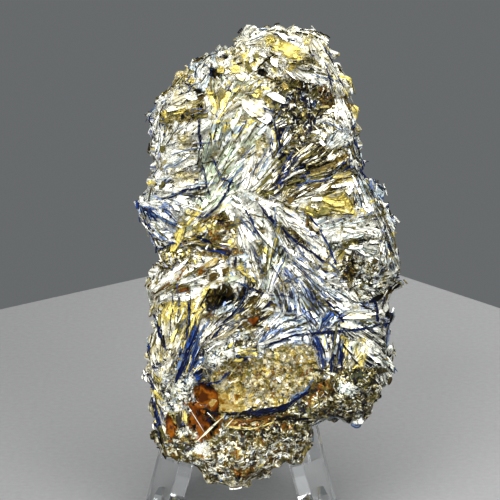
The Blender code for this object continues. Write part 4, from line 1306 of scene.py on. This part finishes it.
grit = {"spacing": 1.4, "cover": 1.2, "sunk": (0.05, 0.45), "calm": ("sugar",), "local": 0.5,
        "webbed": ("matrix", "network", "paleNetwork", "brownGreyWhite", "darkBand", "greenDark", "rustDark",
                   "scaleMix"),
        "web": sharesOf("white 2.5, silver 3, cream 1.5, black 2, brown 2"), "webShare": 0.3, "webTilt": 35,
        "webLength": (0.8, 1.9), "webWidth": (0.14, 0.26), "webThick": 0.2, "webLift": 0.15,
        "flaked": ("crownMix", "gold", "goldOlive", "goldWhite", "chunk", "waistMix"), "flakeTilt": 22,
        "flakeLength": (1.0, 2.5), "flakeWidth": (0.4, 1.0), "flakeThick": 0.3, "flakeBlotch": "tan", "free": 0.1}


def addFlake(point, out, size, colour):
    plate = (size * rng.uniform(*grit["flakeLength"]) * mm, size * rng.uniform(*grit["flakeWidth"]) * mm,
             grit["flakeThick"] * mm)
    addPlate(point, faceHeading(rng.uniform(0, 180)), out, rng.uniform(-grit["flakeTilt"], grit["flakeTilt"]), plate,
             colour, grit["flakeBlotch"], shape=rng.choice(flakes))


def addSliver(point, out):
    sliver = (rng.uniform(*grit["webLength"]) * mm, rng.uniform(*grit["webWidth"]) * mm, grit["webThick"] * mm)
    addPlate(point + out * grit["webLift"] * mm, faceHeading(rng.uniform(0, 180)), out,
             rng.uniform(-grit["webTilt"], grit["webTilt"]), sliver, draw(grit["web"]), part="specks",
             shape="splinter")


def layPatch(name):
    x0, y0, halfWidth, halfHeight, size, palette = grainPatches[name]
    own = bandTable[palette][0]["middling"] if palette in grit["calm"] else palettes[palette]
    step = size * grit["spacing"] * unitsPerMm
    wide, high = grit["cover"] * halfWidth, grit["cover"] * halfHeight
    for row in range(int(2 * high / step)):
        for column in range(int(2 * wide / step)):
            x = x0 - wide + (column + rng.uniform(-0.5, 0.5)) * step
            y = y0 - high + (row + rng.uniform(-0.5, 0.5)) * step
            if patchAt(x, y) != name or inPit(x, y) or poolAt(x, y):
                continue
            hit = onFace(x, y)
            if hit is None:
                continue
            point, normal, slope = hit
            out = slope.lerp(normal, grit["local"]).normalized()
            colour = drawNear(own, *gritPlace(point), 0.0, grit["free"])
            if palette in grit["flaked"]:
                addFlake(point, out, size, colour)
            elif palette in grit["webbed"] and rng.random() < grit["webShare"]:
                addSliver(point, out)
            else:
                centre = point - normal * rng.uniform(*grit["sunk"]) * size * mm
                addGrain(grainParts.get(palette, "rockGrains"), centre, size, colour)


for name in grainPatches:
    layPatch(name)


# Specks of broken leaf and gangue in the gaps, all over the face.

specks = {"step": 7.5, "jitter": 2, "size": (0.22, 0.46), "long": (1.2, 3.6), "lift": (-0.1, 0.45), "gangue": 0.85,
          "palette": sharesOf("brown 2, olive 2.5, black 1.5, khaki 2, bronze 1.5, deepBlue 0.4")}


def addSpeck(x, y, hit):
    own = linePalettes[sheaves[sheafAt(x, y)][9]]
    colour = draw(specks["palette"] if rng.random() < specks["gangue"] else own)
    point, normal, _ = hit
    size = rng.uniform(*specks["size"])
    addCopy("specks", rng.choice(shards), point + normal * rng.uniform(*specks["lift"]) * mm, randomWay(),
            randomWay(), [size * rng.uniform(*specks["long"]) * mm, size * mm, size * mm], shade(colour),
            shade(colour))


def laySpecks():
    y = view["top"]
    while y < view["tip"]:
        x = view["left"]
        while x < view["right"]:
            x += specks["step"]
            atX, atY = (middle + rng.uniform(-specks["jitter"], specks["jitter"]) for middle in (x, y))
            hit = onFace(atX, atY)
            if hit and not isBroken(atX, atY) and hit[2].dot(faceOut) >= turn["facing"]:
                addSpeck(atX, atY, hit)
        y += specks["step"]


laySpecks()


# The large plates, the seams, and the lines of painted shade in cracks and under ledges.

single = {"thick": 0.5, "outward": 0.25, "lift": 0.6, "broad": 5, "blotch": "tan"}
lineLaying = {"every": 4, "share": (0.2, 0.8), "jitter": 1, "length": (2.2, 4.0), "width": (0.45, 1.1), "thick": 0.4,
        "lift": 0.3, "turn": 6, "tilt": 20}

for x, y, heading, length, width, tilt, colour in singles.values():
    point, _, slope = nearFace(x, y)
    out = slope.lerp(faceOut, single["outward"]).normalized()
    addPlate(point + out * single["lift"] * mm, faceHeading(heading), out, tilt,
             (length / unitsPerMm * mm, width / unitsPerMm * mm, single["thick"] * mm), colour, single["blotch"],
             shape=rng.choice(("leaf1", "leaf3")) if width > single["broad"] else "strip")


# Lays leaves along one stretch of a seam. The black and night lines laid here are painted shade in cracks.
def layLineOfLeaves(start, end, width, colour):
    right, down = end[0] - start[0], end[1] - start[1]
    heading = math.degrees(math.atan2(-down, right))
    count = 2 * max(2, int(math.hypot(right, down) / lineLaying["every"]))
    for index in range(count):
        share = (index + rng.uniform(*lineLaying["share"])) / count
        x = start[0] + right * share + rng.uniform(-lineLaying["jitter"], lineLaying["jitter"])
        y = start[1] + down * share + rng.uniform(-lineLaying["jitter"], lineLaying["jitter"])
        point, _, slope = nearFace(x, y)
        size = (rng.uniform(*lineLaying["length"]) * mm, width * rng.uniform(*lineLaying["width"]) * mm, lineLaying["thick"] * mm)
        addPlate(point + slope * lineLaying["lift"] * mm, faceHeading(heading + rng.gauss(0, lineLaying["turn"])), slope,
                 rng.uniform(-lineLaying["tilt"], lineLaying["tilt"]), size, colour,
                 part="seamLeaves" if colour in lineColours else None)


for *line, width, colour in seamsAndShadeLines.values():
    for start, end in zip(line, line[1:]):
        layLineOfLeaves(start, end, width, colour)


# Hairline veins that run along the sheaves, in short steps that hug the stone.

veins = {"every": 190.0, "steps": (2, 5), "step": 6.0, "overlap": 1.35, "width": (0.22, 0.42), "thick": 0.3,
         "lift": 0.5, "turn": 5, "tilt": 15, "colours": sharesOf("deepBlue 1, indigo 1, slate 1.5, black 2, olive 2")}


def layVein(name):
    _, _, reach, spread, heading, _, _, _, fan, _ = sheaves[name]
    along, across = rng.uniform(-1, 1) * reach, rng.uniform(-1, 1) * spread
    way = heading + fan * across / spread
    x, y = inSheaf(name, along, across)
    colour, width = draw(veins["colours"]), rng.uniform(*veins["width"]) * mm
    for _ in range(rng.randint(*veins["steps"])):
        way += rng.gauss(0, veins["turn"])
        hit = onFace(x, y)
        if hit is None or patchAt(x, y):
            return
        point, _, slope = hit
        addPlate(point + slope * veins["lift"] * mm, faceHeading(way), slope,
                 rng.uniform(-veins["tilt"], veins["tilt"]),
                 (veins["step"] * veins["overlap"] / unitsPerMm * mm, width, veins["thick"] * mm), colour)
        x += math.cos(math.radians(way)) * veins["step"]
        y -= math.sin(math.radians(way)) * veins["step"]


for name, row in sheaves.items():
    for _ in range(max(1, round(row[2] * row[3] * math.pi / veins["every"]))):
        layVein(name)


# Lumps of rock, and the crystals and needles of the quartz pocket.

lump = {"lift": 0.5}
crystal = {"grow": 1.25, "sunk": 0.2, "outward": 0.4}
needle = {"grow": 1.05, "lift": 0.9}

for x, y, size, colour in lumps.values():
    point, _, slope = nearFace(x, y)
    addGrain("rockGrains", point + slope * lump["lift"] * mm, size, colour)

for x, y, heading, length, width, depth, part in crystals.values():
    point, _, slope = nearFace(x, y)
    size = [side / unitsPerMm * mm * crystal["grow"] for side in (length, width, depth)]
    addCopy(part, rng.choice(shards), point - slope * crystal["sunk"] * mm, faceHeading(heading),
            slope.lerp(faceOut, crystal["outward"]), size, colours["orange"], colours["orange"])

for start, end, thick, colour in needles.values():
    first, last = (nearFace(x, y)[0] + faceOut * needle["lift"] * mm for x, y in (start, end))
    along = last - first
    addCopy(mineralOf[colour], "splinter", (first + last) / 2, along, faceOut,
            (along.length * needle["grow"], thick * mm, thick * mm), shade(colour), shade(colour))
print("grains and single features", {name: len(rows) for name, rows in parts.items()})


# Materials.

def leafMaterial(name, metallic, roughness, stains, stained, blotched=0.7, specular=0.4, cracked=0.8):
    # The streaks are about 3 mm long and 0.6 mm across, drawn coarser than real ones, and the blotches 2 mm wide.
    material, add, finish = newMaterial(name)
    place = add("Attribute", attribute_name="grain").outputs["Vector"]
    solid = add("TexCoord").outputs["Object"]
    streaks = add("Mapping", {"Vector": place, "Scale": (0.3, 1.6, 1.0)})
    lines = add("TexNoise", {"Vector": streaks, "Scale": 1.0, "Detail": 4.0, "Roughness": 0.62})
    cloud = add("TexNoise", {"Vector": solid, "Scale": 520.0, "Detail": 3.0})
    # The streak gain makes strips of each leaf lighter and darker: painted shading of the fine leaves within it.
    gain = add("MapRange", {"Value": lines, "From Min": 0.42, "From Max": 0.58, "To Min": 0.58, "To Max": 1.12})
    share = add("MapRange", {"Value": cloud, "From Min": 0.53, "From Max": 0.63, "To Min": 0.0, "To Max": blotched})
    mottled = add("Mix", {"Factor": share, "A": add("Attribute", attribute_name="tint"),
                          "B": add("Attribute", attribute_name="blotch")}, data_type="RGBA")
    colour = add("VectorMath", {0: mottled, 1: gain}, operation="MULTIPLY")
    mask = add("MapRange", {"Value": lines, "From Min": 0.43, "From Max": 0.38, "To Min": 0.0, "To Max": stained})
    spot = add("ValToRGB", {"Fac": cloud})
    setRamp(spot, [(0.36 + 0.07 * index, code) for index, code in enumerate(stains)])
    dirty = add("Mix", {"Factor": mask, "A": colour, "B": spot}, data_type="RGBA")
    # Near-black along the cracks: painted shade in the breaks between leaves.
    broken = add("Mix", {"Factor": crackMask(add, solid, cracked), "A": dirty, "B": "#14110A"}, data_type="RGBA")
    finish({"Base Color": broken, "Metallic": metallic, "Specular IOR Level": specular,
            "Roughness": add("MapRange", {"Value": lines, "From Min": 0.35, "From Max": 0.6,
                                          "To Min": roughness + 0.2, "To Max": roughness}),
            "Normal": add("Bump", {"Height": lines, "Strength": 0.6, "Distance": 0.2 * mm})})
    return material


def quartzMaterial(name, cloudShadeAndGlintColours, roughness, transmission, scale):
    # Massive quartz broken with glassy faces, cloudy inside, so that its colour drifts from place to place. The
    # clouds are about 4 mm wide in the amber quartz and 2.5 mm in the yellow one. The ramp is partly painted light:
    # in the amber quartz its near-black end is painted shadow between the crystals, and in both its brightest stop is
    # a painted glint.
    material, add, finish = newMaterial(name)
    cloud = add("TexNoise", {"Vector": add("TexCoord").outputs["Object"], "Scale": scale, "Detail": 3.0})
    spot = add("ValToRGB", {"Fac": cloud})
    setRamp(spot, [(0.34 + 0.3 * index / (len(cloudShadeAndGlintColours) - 1), code) for index, code in enumerate(cloudShadeAndGlintColours)])
    finish({"Base Color": spot, "Roughness": roughness, "Transmission Weight": transmission, "IOR": 1.54,
            "Specular IOR Level": 0.25, "Normal": add("Bump", {"Height": cloud, "Strength": 0.5,
                                                               "Distance": 0.3 * mm})})
    return material


# Covellite and its neighbours are metallic sulphides grown in leaves: bright, a little streaked along the leaf. The
# white and silver base colour of the silvery leaves is painted reflection, standing for the sheen of the leaf faces
# in the lamps. The black of the dark leaves and of the seam leaves is partly painted shade of crevices.
darkStains = ("#0E0D0A", "#3E371C", "#5E5636", "#1A2048", "#4C5A84")
materials = {
    "silveryPlates": leafMaterial("covelliteLeafWithPaintedSheen", 0.6, 0.3, darkStains, 0.92),
    "palePlates": leafMaterial("paleTarnishedLeaf", 0.6, 0.3, darkStains, 0.85),
    "brassyPlates": leafMaterial("brassyChalcopyriteLeaf", 0.55, 0.32, ("#1E180A", "#5A4418", "#6A5A2C"), 0.9),
    "indigoPlates": leafMaterial("indigoCovelliteLeaf", 0.4, 0.36, ("#08091A", "#11163A", "#3A4A90"), 0.8, 0.2, 0.3),
    "darkPlates": leafMaterial("darkTarnishAndShadeLeaf", 0.3, 0.42, ("#060504", "#0E0B06", "#8A7C4C"), 0.75, 0.3, 0.08),
    "seamLeaves": leafMaterial("deepIndigoSeamAndShadeLeaf", 0.1, 0.6, ("#020308", "#060A20", "#0E1640"), 0.8, 0.2, 0.05),
    "specks": leafMaterial("brokenLeafSpeck", 0.4, 0.36, darkStains, 0.5),
    "rockGrains": leafMaterial("sulphideGrain", 0.3, 0.42, ("#0C0A06", "#2E2614", "#5C5030"), 0.9, 0.9, 0.25),
    "sugaryQuartz": leafMaterial("sugaryQuartz", 0.0, 0.25, ("#554A2C", "#7A6C46", "#45402A"), 0.4, 0.5, 0.4, 0.15),
    "amberQuartz": quartzMaterial("amberQuartz", ("#080300", "#281002", "#562802", "#7C4608", "#3A1902"), 0.12, 0.15,
                                  230.0),
    "yellowQuartz": quartzMaterial("yellowQuartz", ("#4E3004", "#785610", "#9C8C58", "#86681C", "#603C04"), 0.16, 0.2,
                                   400.0),
}


def joinCopies(name, rows):
    points, triangles, coordinates = [], [], []
    tints = {"tint": [], "blotch": []}
    start = 0
    for shapeName, shape in shapes.items():
        group = [row for row in rows if row[0] == shapeName]
        if not group:
            continue
        _, centres, frames, sizes, faces, edges, blotches, offsets = (np.array(column) for column in zip(*group))
        local = shape["points"][None] * sizes[:, None]
        points.append((np.einsum("nvi,nij->nvj", local, frames) + centres[:, None]).reshape(-1, 3))
        count, each = len(group), len(shape["points"])
        triangles.append((shape["triangles"][None] + start + (np.arange(count) * each)[:, None, None]).reshape(-1, 3))
        start += count * each
        for key, flats in (("tint", faces), ("blotch", blotches)):
            colour = np.where(shape["flat"][None, :, None], flats[:, None], edges[:, None])
            tints[key].append(np.repeat(colour, 3, axis=1).reshape(-1, 3))
        across = local[:, shape["triangles"], :2] / mm + offsets[:, None, None]
        coordinates.append(across.reshape(-1, 2))
    mesh = bpy.data.meshes.new(name)
    mesh.from_pydata(np.concatenate(points).tolist(), [], np.concatenate(triangles).tolist())
    for key, values in tints.items():
        values = np.concatenate(values)
        attribute = mesh.color_attributes.new(key, "FLOAT_COLOR", "CORNER")
        attribute.data.foreach_set("color", np.hstack([values, np.ones((len(values), 1))]).ravel())
    mesh.uv_layers.new(name="grain").data.foreach_set("uv", np.concatenate(coordinates).ravel())
    mesh.materials.append(materials[name])
    piece = newObject(name, mesh)
    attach(piece, "root")
    print(name, len(mesh.polygons), "triangles")


for name, rows in parts.items():
    joinCopies(name, rows)


def easelMaterial():
    # Clear acrylic sheet, sawn and flame polished: clear, with a faint cool cast and a few hairline scratches, as
    # marks about 1 mm apart.
    material, add, finish = newMaterial("clearAcrylicSheet")
    scratch = add("TexNoise", {"Vector": add("TexCoord").outputs["Object"], "Scale": 900.0, "Detail": 2.0})
    finish({"Base Color": add("Mix", {"Factor": scratch, "A": "#EEF3F4", "B": "#F8FAFA"}, data_type="RGBA"),
            "Roughness": add("MapRange", {"Value": scratch, "To Min": 0.02, "To Max": 0.08}),
            "Transmission Weight": 1.0, "IOR": 1.49})
    return material


clear = easelMaterial()
for slot in bpy.data.objects[easel["node"]].material_slots:
    slot.material = clear
print("easel")
